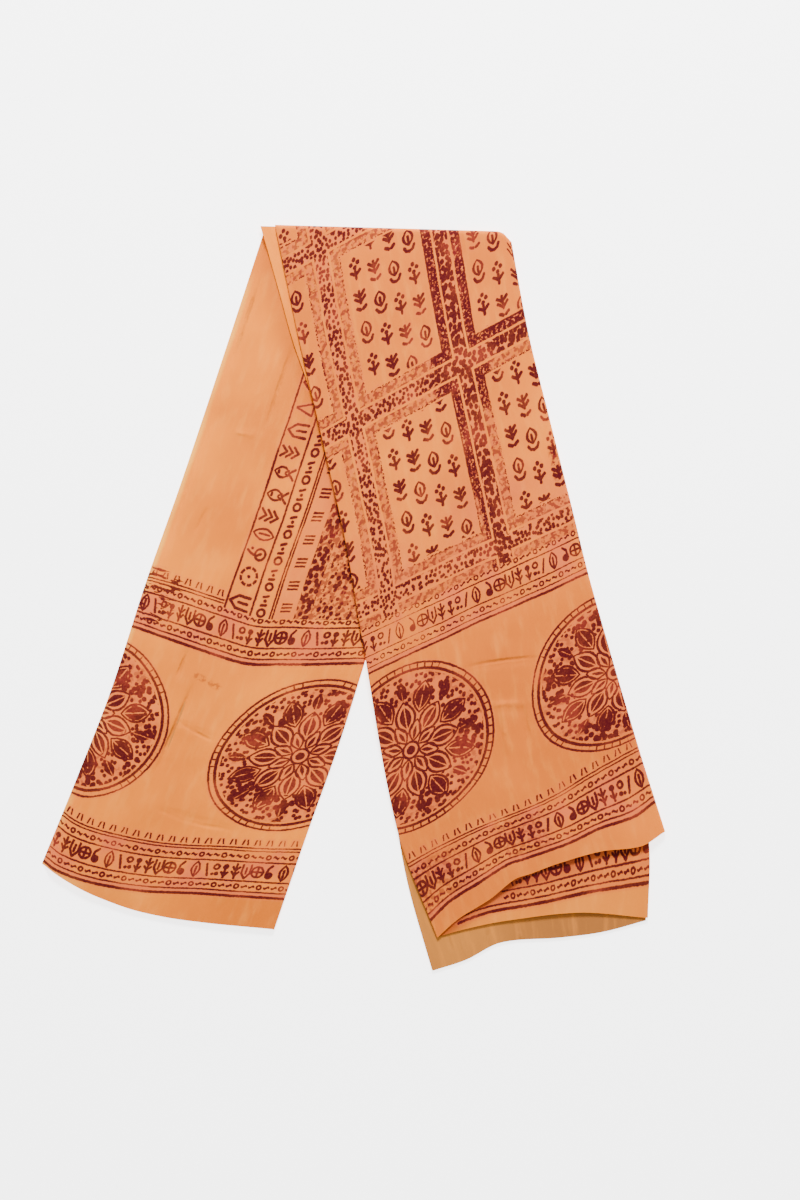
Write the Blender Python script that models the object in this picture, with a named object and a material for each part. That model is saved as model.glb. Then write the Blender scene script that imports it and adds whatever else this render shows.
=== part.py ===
"""A cotton prayer shawl, folded to a quarter of its width and laid flat in a bent strip.

The cloth is one rectangle. It is folded in half lengthwise twice, which gives a strip of
four layers, and the strip is folded across on a slanting line at the top. Two legs run
down from that fold: the back leg lies on the floor, and the front leg crosses over it and
comes down to the floor beside it. Each stretch of cloth that shows is a wall of its own.
The hidden layers of a leg are one rounded solid with a groove between each two layers.

Metres, +Z up. The origin is on the floor under the middle of the laid cloth. +Y points to
the fold across the strip, and the two hems lie towards -Y.
"""

import math

import bmesh
import bpy
from mathutils import Vector

MILLIMETRE = 0.001

# One layer of cloth that shows, one hidden layer, and the gaps between pieces, in metres
WALL = 0.0010
HIDDEN_LAYER = 0.0011
GAP = 0.0003
LOOSE_GAP = 0.0005

# The round of a fold's outside, and the room that each fold has inside the next
FOLD_RADIUS = 0.0020
NEST = 0.0020

# Heights in the back leg's stack, and in the front leg's above what it lies on
BACK_HIDDEN_LAYERS = 3
FRONT_HIDDEN_LAYERS = 2
BACK_TOP = BACK_HIDDEN_LAYERS * HIDDEN_LAYER + GAP + WALL
FRONT_BED = BACK_TOP + GAP
SECOND_UNDERSIDE = FRONT_HIDDEN_LAYERS * HIDDEN_LAYER + GAP
SECOND_TOP = SECOND_UNDERSIDE + WALL
FRONT_TOP = SECOND_TOP + LOOSE_GAP + WALL

# The front leg comes down to the floor beside the back leg
FALL_START = 0.014
FALL_LENGTH = 0.044

# The selvedge of the back leg's top layer slopes down to the floor over this width
SELVEDGE_STRIP = 0.015

# The front leg's two loose hems stand up by this much, over the last part of its length
TOP_HEM_LIFT = 0.0045
SECOND_HEM_LIFT = 0.0020
HEM_LIFT_FROM = 0.86

# The corners of the hems are cut back by this much
HEM_CORNER = 0.0018

# The middle of the laid cloth, in the sections' millimetres
MIDDLE = (0.62, -0.51)

# Sections across a leg, in millimetres, at shares of the leg's length
# along, left x, left y, right x, right y
FRONT_SECTIONS = (
    (0.000, -80.2, 383.5, 161.0, 376.5),
    (0.164, -55.5, 265.4, 180.4, 272.9),
    (0.289, -34.0, 172.8, 199.5, 195.3),
    (0.443, -8.2, 59.7, 223.5, 99.9),
    (0.582, 9.5, -43.2, 245.0, 13.8),
)
TOP_LAYER_FOOT = (
    (0.846, 45.5, -238.7, 292.1, -148.3),
    (1.000, 86.4, -348.8, 321.0, -240.0),
)
SECOND_LAYER_FOOT = (
    (0.846, 45.5, -238.7, 292.1, -148.3),
    (0.930, 68.5, -297.0, 309.0, -250.0),
    (1.000, 87.6, -347.8, 308.0, -328.2),
)
LOWER_LAYERS_FOOT = (
    (0.846, 43.0, -238.7, 292.1, -148.3),
    (0.930, 55.5, -302.0, 308.5, -252.0),
    (1.000, 79.0, -384.0, 307.5, -330.0),
)
BACK_SECTIONS = (
    (0.000, -91.0, 378.5, 155.0, 372.0),
    (0.177, -129.6, 260.3, 114.3, 245.5),
    (0.391, -175.9, 121.4, 63.9, 92.6),
    (0.558, -214.0, 13.4, 24.5, -26.8),
    (0.724, -249.0, -94.7, -12.8, -145.8),
    (0.868, -285.0, -187.2, -49.0, -247.9),
    (1.000, -320.0, -273.0, -81.0, -341.0),
)

# The row of BACK_SECTIONS up to which the back leg's right edge is straight
STRAIGHT_TO = 3

# The front leg's lower selvedge stands out beyond the fold above it, in millimetres
# along, outwards
FRONT_PEEK = ((0.000, 12.0), (0.164, 6.0), (0.289, 0.0), (0.443, -3.0), (1.000, -3.0))

# Each hem hangs below the straight line between its corners, in millimetres
# across, downwards
TOP_LAYER_HEM = (
    (0.00, 0.0),
    (0.10, -8.0),
    (0.25, -13.0),
    (0.37, -21.0),
    (0.44, -19.0),
    (0.55, -17.0),
    (0.73, -10.0),
    (0.90, 3.0),
    (1.00, 0.0),
)
SECOND_LAYER_HEM = ((0.00, 0.0), (0.16, -6.0), (0.34, -10.0), (0.68, -11.5), (1.00, 0.0))
LOWER_LAYERS_HEM = ((0.00, 0.0), (0.16, -3.0), (0.33, -12.0), (0.60, -3.0), (0.80, 1.5), (1.00, 0.0))
BACK_HEM = ((0.00, 0.0), (0.12, 10.0), (0.26, 17.0), (0.46, 20.0), (0.69, 14.0), (1.00, 0.0))

# The bow of a hem fades out up the leg, from the hem to this share of its length
FRONT_BOW_FROM = 0.85
BACK_BOW_FROM = 0.30

# Each place along a loose hem takes this share of its lift
# across, share
TOP_HEM_RIPPLE = (
    (0.00, 0.0),
    (0.20, 0.3),
    (0.37, 1.0),
    (0.44, 0.4),
    (0.60, 0.9),
    (0.85, 1.0),
    (1.00, 0.2),
)
SECOND_HEM_RIPPLE = ((0.00, 0.0), (0.34, 0.5), (0.68, 1.0), (1.00, 0.1))

# Columns and rows of each leg's grid, as shares of its width and length. All layers of a leg
# share them, so that their inner points stand over each other
FRONT_COLUMNS = (0.0, 0.03, 0.10, 0.18, 0.26, 0.335, 0.37, 0.405)
FRONT_COLUMNS += (0.46, 0.53, 0.61, 0.70, 0.79, 0.88, 0.96, 1.0)
BACK_COLUMNS = (0.12, 0.26, 0.46, 0.69, 0.88, 0.97, 1.0)
SELVEDGE_COLUMNS = (0.0, 0.022, 0.043, 0.064)
FRONT_ROWS = 22
BACK_ROWS = 15

# Two more rows near the top fold. The inset of a layer there fades out over the second
HEAD_ROWS = (0.003, 0.012)

# A folded edge turns down through these angles, in degrees, and then hangs straight
FOLD_ANGLES = (30.0, 60.0, 90.0)

# Faces that meet at less than this angle, in degrees, are shaded as one smooth surface
SMOOTH_BELOW = 50.0

# The edge of each hidden layer, from its underside to the groove above it
# height as a share of the layer, millimetres outwards
LAYER_EDGE = ((0.20, 0.7), (0.75, 0.7), (1.00, -0.5))

# Each hidden layer stands out beyond the outline of its stack, from the lowest layer up
# left, right, hem; millimetres
FRONT_LAYER_STEPS = ((-2.0, 0.0, 2.0), (0.0, 0.0, 0.0))
BACK_LAYER_STEPS = ((0.0, 0.0, 1.5), (-3.0, -1.0, -2.0), (-1.0, -0.5, 0.0))


def ease(share):
    """Go smoothly from 0 to 1."""
    held = min(max(share, 0.0), 1.0)
    return held * held * (3.0 - 2.0 * held)


def read_table(table, station, column=1):
    """Read one column of a table on a smooth curve through its rows."""
    last = len(table) - 1
    row = 0
    while row < last - 1 and station > table[row + 1][0]:
        row += 1
    start, end = table[row], table[row + 1]
    before, after = table[max(row - 1, 0)], table[min(row + 2, last)]
    span = end[0] - start[0]
    share = min(max((station - start[0]) / span, 0.0), 1.0)
    slope_in = (end[column] - before[column]) / (end[0] - before[0]) * span
    slope_out = (after[column] - start[column]) / (after[0] - start[0]) * span
    square = share * share
    cube = square * share
    return (
        (2 * cube - 3 * square + 1) * start[column]
        + (cube - 2 * square + share) * slope_in
        + (3 * square - 2 * cube) * end[column]
        + (cube - square) * slope_out
    )


def in_frame(x, y):
    """A place in the sections' millimetres, in metres from the middle of the laid cloth."""
    return Vector((x - MIDDLE[0], y - MIDDLE[1])) * MILLIMETRE


class Stretch:
    """The plan of one stretch of cloth, between its left and right edges."""

    def __init__(self, sections, hem, bow_from, left_inset, right_inset, head_inset, peek=None):
        self.sections = sections
        self.hem = hem
        self.bow_from = bow_from
        self.left_inset = left_inset
        self.right_inset = right_inset
        self.head_inset = head_inset
        self.peek = peek

    def edges(self, along):
        """The left and right ends of the leg's section at a share of its length."""
        left = [read_table(self.sections, along, column) for column in (1, 2)]
        right = [read_table(self.sections, along, column) for column in (3, 4)]
        return in_frame(*left), in_frame(*right)

    def side(self, along):
        """The direction from the left edge to the right one."""
        left, right = self.edges(along)
        return (right - left).normalized()

    def down(self, across, along):
        """The direction down the leg."""
        step = 0.002
        upper = min(max(along - step, 0.0), 1.0 - 2.0 * step)
        start = self.edges(upper)
        end = self.edges(upper + 2.0 * step)
        return (end[0].lerp(end[1], across) - start[0].lerp(start[1], across)).normalized()

    def place(self, across, along):
        """The plan position at shares of the width and the length.

        Only the points round the edge are inset.
        """
        left, right = self.edges(along)
        side = self.side(along)
        down = self.down(across, along)
        bow = read_table(self.hem, across) * MILLIMETRE
        point = left.lerp(right, across) + down * bow * ease((along - self.bow_from) / (1.0 - self.bow_from))
        point += down * self.head_inset * max(0.0, 1.0 - along / HEAD_ROWS[-1])
        if across == 0.0:
            peek = read_table(self.peek, along) * MILLIMETRE if self.peek else 0.0
            point += side * (self.left_inset - peek)
        if across == 1.0:
            point -= side * self.right_inset
        if along == 1.0 and across in (0.0, 1.0):
            inward = side * (1.0 if across == 0.0 else -1.0)
            point += (inward - down) * HEM_CORNER
        return point


def beside_back_leg(point):
    """How far a place lies to the right of the back leg's right edge."""
    start = in_frame(*BACK_SECTIONS[0][3:])
    end = in_frame(*BACK_SECTIONS[STRAIGHT_TO][3:])
    run = (end - start).normalized()
    offset = point - start
    return offset.y * run.x - offset.x * run.y


def front_bed(point):
    """Height of the surface that the front leg lies on: the back leg, then the floor."""
    return FRONT_BED * (1.0 - ease((beside_back_leg(point) - FALL_START) / FALL_LENGTH))


def floor(point):
    return 0.0


def row_shares(count):
    """Even rows from 0 to 1, with the rows near the top fold."""
    return [0.0, *HEAD_ROWS] + [row / count for row in range(1, count + 1)]


class Grid:
    """A bmesh grid whose points know their shares of the width and the length."""

    def __init__(self, columns, rows):
        self.columns = columns
        self.rows = rows
        self.shape = bmesh.new()
        bmesh.ops.create_grid(self.shape, x_segments=len(columns) - 1, y_segments=len(rows) - 1, size=1.0)
        self.column = self.shape.verts.layers.int.new("column")
        self.row = self.shape.verts.layers.int.new("row")
        for point in self.shape.verts:
            point[self.column] = round((point.co.x + 1.0) / 2.0 * (len(columns) - 1))
            point[self.row] = round((1.0 - point.co.y) / 2.0 * (len(rows) - 1))
        bmesh.ops.triangulate(self.shape, faces=self.shape.faces, quad_method="FIXED")

    def shares(self, point):
        return self.columns[point[self.column]], self.rows[point[self.row]]


def new_material(name, color):
    material = bpy.data.materials.new(name)
    material.use_nodes = True
    shader = material.node_tree.nodes["Principled BSDF"]
    shader.inputs["Base Color"].default_value = (*color, 1.0)
    shader.inputs["Roughness"].default_value = 0.85
    shader.inputs["Metallic"].default_value = 0.0
    return material


def new_node(name, shape, color):
    """Turn a bmesh into a named object with its own material."""
    mesh = bpy.data.meshes.new(name)
    shape.to_mesh(mesh)
    shape.free()
    mesh.materials.append(new_material(name + "_cloth", color))
    mesh.shade_smooth()
    mesh.set_sharp_from_angle(angle=math.radians(SMOOTH_BELOW))
    node = bpy.data.objects.new(name, mesh)
    bpy.context.scene.collection.objects.link(node)
    return node


def of_type(items, kind):
    return [item for item in items if isinstance(item, kind)]


def fold_down(grid, stretch, fold_to):
    """Turn the folded edges of a layer down to the height that fold_to gives for each place.

    fold_to gives None along an edge where the cloth simply ends.
    """
    shape = grid.shape
    upper_edge = {grid.shares(point): point.co.copy() for point in shape.verts}

    def runs_along_fold(edge):
        ends = [grid.shares(point) for point in edge.verts]
        on_one_side = ends[0][0] == ends[1][0] or ends[0][1] == ends[1][1] == 0.0
        return edge.is_boundary and on_one_side and all(fold_to(*end) is not None for end in ends)

    ring = [edge for edge in shape.edges if runs_along_fold(edge)]
    for angle in FOLD_ANGLES + (None,):
        grown = bmesh.ops.extrude_edge_only(shape, edges=ring)["geom"]
        for point in of_type(grown, bmesh.types.BMVert):
            across, along = grid.shares(point)
            out = Vector((0.0, 0.0))
            if across in (0.0, 1.0):
                out += stretch.side(along) * (1.0 if across == 1.0 else -1.0)
            if along == 0.0:
                out -= stretch.down(across, along)
            turn = math.radians(FOLD_ANGLES[-1] if angle is None else angle)
            plan = upper_edge[(across, along)].xy + out * FOLD_RADIUS * math.sin(turn)
            lowest = fold_to(across, along)
            height = upper_edge[(across, along)].z - FOLD_RADIUS * (1.0 - math.cos(turn))
            point.co = (*plan, lowest if angle is None else max(height, lowest))
        ring = [
            edge
            for edge in of_type(grown, bmesh.types.BMEdge)
            if edge.is_boundary and grid.shares(edge.verts[0]) != grid.shares(edge.verts[1])
        ]


def make_layer(name, stretch, columns, rows, height, fold_to, color):
    """A layer of cloth that shows: its upper face, its folded edges, and then its thickness."""
    grid = Grid(columns, row_shares(rows))
    shape = grid.shape
    for point in shape.verts:
        across, along = grid.shares(point)
        plan = stretch.place(across, along)
        point.co = (*plan, height(across, along, plan))
    fold_down(grid, stretch, fold_to)
    bmesh.ops.recalc_face_normals(shape, faces=shape.faces)
    widest = max(shape.faces, key=lambda face: face.calc_area())
    if widest.normal.z < 0.0:
        bmesh.ops.reverse_faces(shape, faces=shape.faces)
    thickness = new_node(name, shape, color).modifiers.new("Thickness", "SOLIDIFY")
    thickness.thickness = WALL
    thickness.offset = -1.0
    thickness.use_even_offset = True


def make_hidden_layers(name, stretch, columns, rows, bed, steps, color):
    """Hidden layers as one rounded solid, with a groove round it between each two layers."""
    grid = Grid(columns, row_shares(rows))
    shape = grid.shape

    def move(point, rise, outwards, step):
        across, along = grid.shares(point)
        left_step, right_step, hem_step = step
        plan = stretch.place(across, along)
        height = bed(plan) + rise
        if across == 0.0:
            plan -= stretch.side(along) * (outwards + left_step) * MILLIMETRE
        if across == 1.0:
            plan += stretch.side(along) * (outwards + right_step) * MILLIMETRE
        if along == 0.0:
            plan -= stretch.down(across, along) * outwards * MILLIMETRE
        if along == 1.0:
            plan += stretch.down(across, along) * (outwards + hem_step) * MILLIMETRE
        point.co = (*plan, height)

    underside_inset = LAYER_EDGE[-1][1]
    for point in shape.verts:
        move(point, 0.0, underside_inset, steps[0])
    top = list(shape.faces)
    first_lift = True
    for number, step in enumerate(steps):
        for height, outwards in LAYER_EDGE:
            covered = top
            grown = bmesh.ops.extrude_face_region(shape, geom=covered)["geom"]
            top = of_type(grown, bmesh.types.BMFace)
            if not first_lift:
                bmesh.ops.delete(shape, geom=covered, context="FACES")
            first_lift = False
            for point in of_type(grown, bmesh.types.BMVert):
                move(point, (number + height) * HIDDEN_LAYER, outwards, step)
    bmesh.ops.recalc_face_normals(shape, faces=shape.faces)
    new_node(name, shape, color)


def hem_lift(ripple, most, across, along):
    """How far a loose hem stands up."""
    return most * read_table(ripple, across) * ease((along - HEM_LIFT_FROM) / (1.0 - HEM_LIFT_FROM))


def make_back_hidden_layers():
    stretch = Stretch(BACK_SECTIONS, BACK_HEM, BACK_BOW_FROM, SELVEDGE_STRIP + NEST, NEST, FOLD_RADIUS)
    color = (0.60, 0.29, 0.12)
    columns = (0.0, *BACK_COLUMNS)
    make_hidden_layers("back_leg_lower_layers", stretch, columns, BACK_ROWS, floor, BACK_LAYER_STEPS, color)


def make_back_top_layer():
    stretch = Stretch(BACK_SECTIONS, BACK_HEM, BACK_BOW_FROM, 0.0, FOLD_RADIUS, FOLD_RADIUS)

    def height(across, along, plan):
        left, right = stretch.edges(along)
        from_selvedge = across * (right - left).length
        return WALL + (BACK_TOP - WALL) * ease(from_selvedge / SELVEDGE_STRIP)

    def fold_to(across, along):
        return 0.0 if across == 1.0 else None

    color = (0.74, 0.36, 0.15)
    columns = SELVEDGE_COLUMNS + BACK_COLUMNS
    make_layer("back_leg_top_layer", stretch, columns, BACK_ROWS, height, fold_to, color)


def make_front_hidden_layers():
    sections = FRONT_SECTIONS + LOWER_LAYERS_FOOT
    stretch = Stretch(sections, LOWER_LAYERS_HEM, FRONT_BOW_FROM, 0.0, 3 * NEST + WALL, 3 * NEST, FRONT_PEEK)
    color = (0.56, 0.27, 0.11)
    make_hidden_layers(
        "front_leg_lower_layers", stretch, FRONT_COLUMNS, FRONT_ROWS, front_bed, FRONT_LAYER_STEPS, color
    )


def make_front_second_layer():
    sections = FRONT_SECTIONS + SECOND_LAYER_FOOT
    room = 2 * NEST + FOLD_RADIUS
    stretch = Stretch(sections, SECOND_LAYER_HEM, FRONT_BOW_FROM, NEST, room, room)
    fold_shows_from = 0.6

    def height(across, along, plan):
        return front_bed(plan) + SECOND_TOP + hem_lift(SECOND_HEM_RIPPLE, SECOND_HEM_LIFT, across, along)

    def fold_to(across, along):
        return HIDDEN_LAYER if across == 1.0 and along > fold_shows_from else None

    color = (0.60, 0.22, 0.09)
    make_layer("front_leg_second_layer", stretch, FRONT_COLUMNS, FRONT_ROWS, height, fold_to, color)


def make_front_top_layer():
    sections = FRONT_SECTIONS + TOP_LAYER_FOOT
    stretch = Stretch(sections, TOP_LAYER_HEM, FRONT_BOW_FROM, FOLD_RADIUS, FOLD_RADIUS, FOLD_RADIUS)

    def height(across, along, plan):
        return front_bed(plan) + FRONT_TOP + hem_lift(TOP_HEM_RIPPLE, TOP_HEM_LIFT, across, along)

    def fold_to(across, along):
        if across == 0.0:
            return front_bed(stretch.place(across, along)) + SECOND_UNDERSIDE
        return 0.0 if across == 1.0 or along == 0.0 else None

    color = (0.76, 0.37, 0.15)
    make_layer("front_leg_top_layer", stretch, FRONT_COLUMNS, FRONT_ROWS, height, fold_to, color)


for old in list(bpy.data.objects):
    bpy.data.objects.remove(old)
make_back_hidden_layers()
make_back_top_layer()
make_front_hidden_layers()
make_front_second_layer()
make_front_top_layer()
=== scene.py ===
# %% [markdown]
# # A printed prayer shawl, folded to a strip and laid flat
#
# The shawl is one rectangle of thin orange cotton, printed with carved wooden blocks. It is
# folded in half lengthwise twice, and then once across, so that the strip has two legs.
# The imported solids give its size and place. This script lays a fine sheet of cloth over each
# solid and prints the pattern on it with shader nodes.

# %% Load the solid model
import functools
import math

import bmesh
import bpy
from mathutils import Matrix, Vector, kdtree, noise


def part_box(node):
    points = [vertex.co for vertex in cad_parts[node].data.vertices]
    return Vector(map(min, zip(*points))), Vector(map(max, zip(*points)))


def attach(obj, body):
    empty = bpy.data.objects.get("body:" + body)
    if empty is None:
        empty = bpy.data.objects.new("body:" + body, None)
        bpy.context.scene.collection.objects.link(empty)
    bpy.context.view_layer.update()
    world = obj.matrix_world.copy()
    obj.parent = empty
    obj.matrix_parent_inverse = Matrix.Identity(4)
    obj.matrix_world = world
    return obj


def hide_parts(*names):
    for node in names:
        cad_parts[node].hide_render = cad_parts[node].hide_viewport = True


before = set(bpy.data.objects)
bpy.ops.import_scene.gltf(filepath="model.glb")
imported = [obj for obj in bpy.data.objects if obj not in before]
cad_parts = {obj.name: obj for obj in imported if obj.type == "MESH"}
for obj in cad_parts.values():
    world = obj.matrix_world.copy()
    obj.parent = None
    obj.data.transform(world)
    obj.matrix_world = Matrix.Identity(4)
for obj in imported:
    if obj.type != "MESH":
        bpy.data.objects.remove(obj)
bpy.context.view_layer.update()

print("solids:", sorted(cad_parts))

# %% [markdown]
# ## The plan of the two legs
#
# Seen from above, each leg is a strip between two long edges. The part's source gives those
# edges as short tables of sections, and the same tables are repeated here, so that every
# sheet keeps the place of its solid. A smooth curve runs through the rows of a table.

# %% Sections across the legs
MM = 0.001
MIDDLE = (0.62, -0.51)

# along, left x, left y, right x, right y, in millimetres
FRONT_SECTIONS = (
    (0.000, -80.2, 383.5, 161.0, 376.5),
    (0.164, -55.5, 265.4, 180.4, 272.9),
    (0.289, -34.0, 172.8, 199.5, 195.3),
    (0.443, -8.2, 59.7, 223.5, 99.9),
    (0.582, 9.5, -43.2, 245.0, 13.8),
)
TOP_LAYER_FOOT = (
    (0.846, 45.5, -238.7, 292.1, -148.3),
    (1.000, 86.4, -348.8, 321.0, -240.0),
)
SECOND_LAYER_FOOT = (
    (0.846, 45.5, -238.7, 292.1, -148.3),
    (0.930, 68.5, -297.0, 309.0, -250.0),
    (1.000, 87.6, -347.8, 308.0, -328.2),
)
LOWER_LAYERS_FOOT = (
    (0.846, 43.0, -238.7, 292.1, -148.3),
    (0.930, 55.5, -302.0, 308.5, -252.0),
    (1.000, 79.0, -384.0, 307.5, -330.0),
)
BACK_SECTIONS = (
    (0.000, -91.0, 378.5, 155.0, 372.0),
    (0.177, -129.6, 260.3, 114.3, 245.5),
    (0.391, -175.9, 121.4, 63.9, 92.6),
    (0.558, -214.0, 13.4, 24.5, -26.8),
    (0.724, -249.0, -94.7, -12.8, -145.8),
    (0.868, -285.0, -187.2, -49.0, -247.9),
    (1.000, -320.0, -273.0, -81.0, -341.0),
)
# The back leg's right edge is straight from the first row to this one
STRAIGHT_TO = 3

# How far the lower selvedge stands out beyond the front leg's left fold
FRONT_PEEK = ((0.000, 15.0), (0.100, 9.5), (0.164, 6.5), (0.245, 0.0), (0.443, -3.0), (1.000, -3.0))
# A table that adds nothing
NOTHING = ((0.0, 0.0), (1.0, 0.0))

# The outer corner of the top fold is round
HEAD_CORNER = 0.011
CORNER_REACH = 0.08

print(len(FRONT_SECTIONS), "sections down the front leg,", len(BACK_SECTIONS), "down the back leg")

# %% [markdown]
# ## The hems
#
# No hem is straight. Each hangs below the line between its corners by the millimetres in
# its table, at shares of the width, and stays above that line where they are negative. Two
# hems are loose and stand up from the floor in low ripples, which throw the soft shadow that
# parts one layer from the next.

# %% Bows and ripples of the hems
TOP_LAYER_HEM = (
    (0.00, 0.0), (0.10, -8.0), (0.25, -13.0), (0.37, -21.0), (0.44, -19.0),
    (0.55, -17.0), (0.73, -10.0), (0.90, 3.0), (1.00, 0.0),
)
SECOND_LAYER_HEM = ((0.00, 0.0), (0.16, -6.0), (0.34, -10.0), (0.68, -11.5), (1.00, 0.0))
LOWER_LAYERS_HEM = (
    (0.00, 0.0), (0.16, -3.0), (0.33, -12.0), (0.60, -3.0), (0.80, 1.5), (1.00, 0.0),
)
BACK_HEM = ((0.00, 0.0), (0.12, 10.0), (0.26, 17.0), (0.46, 20.0), (0.69, 14.0), (1.00, 0.0))
FRONT_BOW_FROM = 0.85
BACK_BOW_FROM = 0.30

TOP_HEM_RIPPLE = (
    (0.00, 0.0), (0.20, 0.3), (0.37, 1.0), (0.44, 0.4), (0.60, 0.9), (0.85, 1.0), (1.00, 0.2),
)
SECOND_HEM_RIPPLE = ((0.00, 0.0), (0.34, 0.5), (0.68, 1.0), (1.00, 0.1))
TOP_HEM_LIFT = 0.0045
SECOND_HEM_LIFT = 0.0020
HEM_LIFT_FROM = 0.86

print("the back hem hangs %.0f mm below its corners" % max(bow for _, bow in BACK_HEM))


# %% Smooth steps and curves
def ease(share):
    """Go smoothly from 0 to 1."""
    held = min(max(share, 0.0), 1.0)
    return held * held * (3.0 - 2.0 * held)


def read_table(table, station, column=1):
    """Read one column of a table on a smooth curve through its rows."""
    last = len(table) - 1
    row = 0
    while row < last - 1 and station > table[row + 1][0]:
        row += 1
    start, end = table[row], table[row + 1]
    before, after = table[max(row - 1, 0)], table[min(row + 2, last)]
    span = end[0] - start[0]
    share = min(max((station - start[0]) / span, 0.0), 1.0)
    slope_in = (end[column] - before[column]) / (end[0] - before[0]) * span
    slope_out = (after[column] - start[column]) / (after[0] - start[0]) * span
    square, cube = share ** 2, share ** 3
    return (
        (2 * cube - 3 * square + 1) * start[column]
        + (cube - 2 * square + share) * slope_in
        + (3 * square - 2 * cube) * end[column]
        + (cube - square) * slope_out
    )


def in_frame(x, y):
    """A place in the sections' millimetres, in metres from the middle of the laid cloth."""
    return Vector((x - MIDDLE[0], y - MIDDLE[1])) * MM


print("the top layer's hem rises by %.0f mm at its middle" % -read_table(TOP_LAYER_HEM, 0.5))

# %% The plan of one sheet
class Stretch:
    """One stretch of cloth between its left and right edges, with the inset of each edge."""

    # The hem bows from the share bow_from on. Left, right and head are the insets in metres, a
    # peek lets the left edge stand out again, and corner is the radius at the right of the head.
    def __init__(self, sections, hem, bow_from, left, right, head, peek=NOTHING, corner=0.0):
        self.sections, self.hem, self.bow_from = sections, hem, bow_from
        self.left, self.right, self.head, self.peek = left, right, head, peek
        self.corner = corner

    @functools.lru_cache(maxsize=None)
    def edges(self, along):
        """The two ends of the section at a share of the length, with the insets."""
        left = in_frame(*[read_table(self.sections, along, column) for column in (1, 2)])
        right = in_frame(*[read_table(self.sections, along, column) for column in (3, 4)])
        side = (right - left).normalized()
        inset = self.left - read_table(self.peek, along) * MM
        return left + side * inset, right - side * self.right

    def width(self, along):
        left, right = self.edges(along)
        return (right - left).length

    def side(self, along):
        """The direction across the leg, from left to right."""
        left, right = self.edges(along)
        return (right - left).normalized()

    def down(self, across, along):
        """The direction down the leg."""
        step = 0.002
        upper = min(max(along - step, 0.0), 1.0 - 2.0 * step)
        start, end = self.edges(upper), self.edges(upper + 2.0 * step)
        return (end[0].lerp(end[1], across) - start[0].lerp(start[1], across)).normalized()

    def outwards(self, edge, across, along):
        """The direction out of the sheet at its left, right or head edge."""
        if edge == "head":
            return -self.down(across, along)
        return self.side(along) if edge == "right" else -self.side(along)

    def place(self, across, along):
        """The plan position at shares of the width and the length."""
        left, right = self.edges(along)
        bow = read_table(self.hem, across) * MM
        bow *= ease((along - self.bow_from) / (1.0 - self.bow_from))
        bow += self.head * (1.0 - along)
        in_corner = max(0.0, self.corner - (1.0 - across) * self.width(along))
        rounding = self.corner - math.sqrt(self.corner ** 2 - in_corner ** 2)
        bow += rounding * max(0.0, 1.0 - along / CORNER_REACH)
        return left.lerp(right, across) + self.down(across, along) * bow


back_strip = Stretch(BACK_SECTIONS, BACK_HEM, BACK_BOW_FROM, 0.0, 0.0, 0.0)
print("the back leg is %.0f mm wide half way down" % (back_strip.width(0.5) / MM))

# %% [markdown]
# ## The bed that the front leg lies on
#
# The front leg lies on the back leg near the top fold, and comes down to the floor beside
# it. The solids give the height of the back leg, and the way down is an eased slope.

# %% Height of the bed
back_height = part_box("back_leg_top_layer")[1].z
whole_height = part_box("front_leg_top_layer")[1].z
# The gap between two solids, and the rise from one layer to the next
GAP = 0.0003
LAYER = 0.0011
FRONT_BED = back_height + GAP
SECOND_TOP = 2 * LAYER + GAP + MM
FRONT_TOP = whole_height - FRONT_BED
# The way down to the floor: how far from the back leg's edge it starts, and its length
FALL_START = 0.014
FALL_LENGTH = 0.044


def beside_back_leg(point):
    """How far a place lies to the right of the back leg's right edge."""
    start = in_frame(*BACK_SECTIONS[0][3:])
    run = (in_frame(*BACK_SECTIONS[STRAIGHT_TO][3:]) - start).normalized()
    offset = point - start
    return offset.y * run.x - offset.x * run.y


def front_bed(point):
    """Height of what the front leg lies on."""
    return FRONT_BED * (1.0 - ease((beside_back_leg(point) - FALL_START) / FALL_LENGTH))


def floor_bed(point):
    """The back leg lies on the floor."""
    return 0.0


def hem_lift(ripple, most, across, along):
    """How far a loose hem stands up."""
    return most * read_table(ripple, across) * ease((along - HEM_LIFT_FROM) / (1.0 - HEM_LIFT_FROM))


print("back leg %.1f mm thick, whole stack %.1f mm" % (back_height / MM, whole_height / MM))

# %% [markdown]
# ## Waves and creases
#
# Cloth that was folded away and laid out again is never quite flat. Two things shape it here:
# slow waves a hand's width apart, from smooth noise, and the creases that the folding left.
# Each crease is a soft ridge or trough along a line, and fades out towards both ends. Waves
# and creases grow from the lowest layer up, so that no layer cuts through the next.

# %% Waves and creases of the cloth
WAVE_HEIGHT = 0.0014
WAVE_SIZE = 0.075
WAVE_STRETCH = 0.7
SMALL_WAVE_HEIGHT = 0.0005
SMALL_WAVE_SIZE = 0.027
# Two slices of the noise, so that the small waves don't follow the slow ones
WAVE_SLICE = 3.1
SMALL_WAVE_SLICE = 9.7

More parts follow.
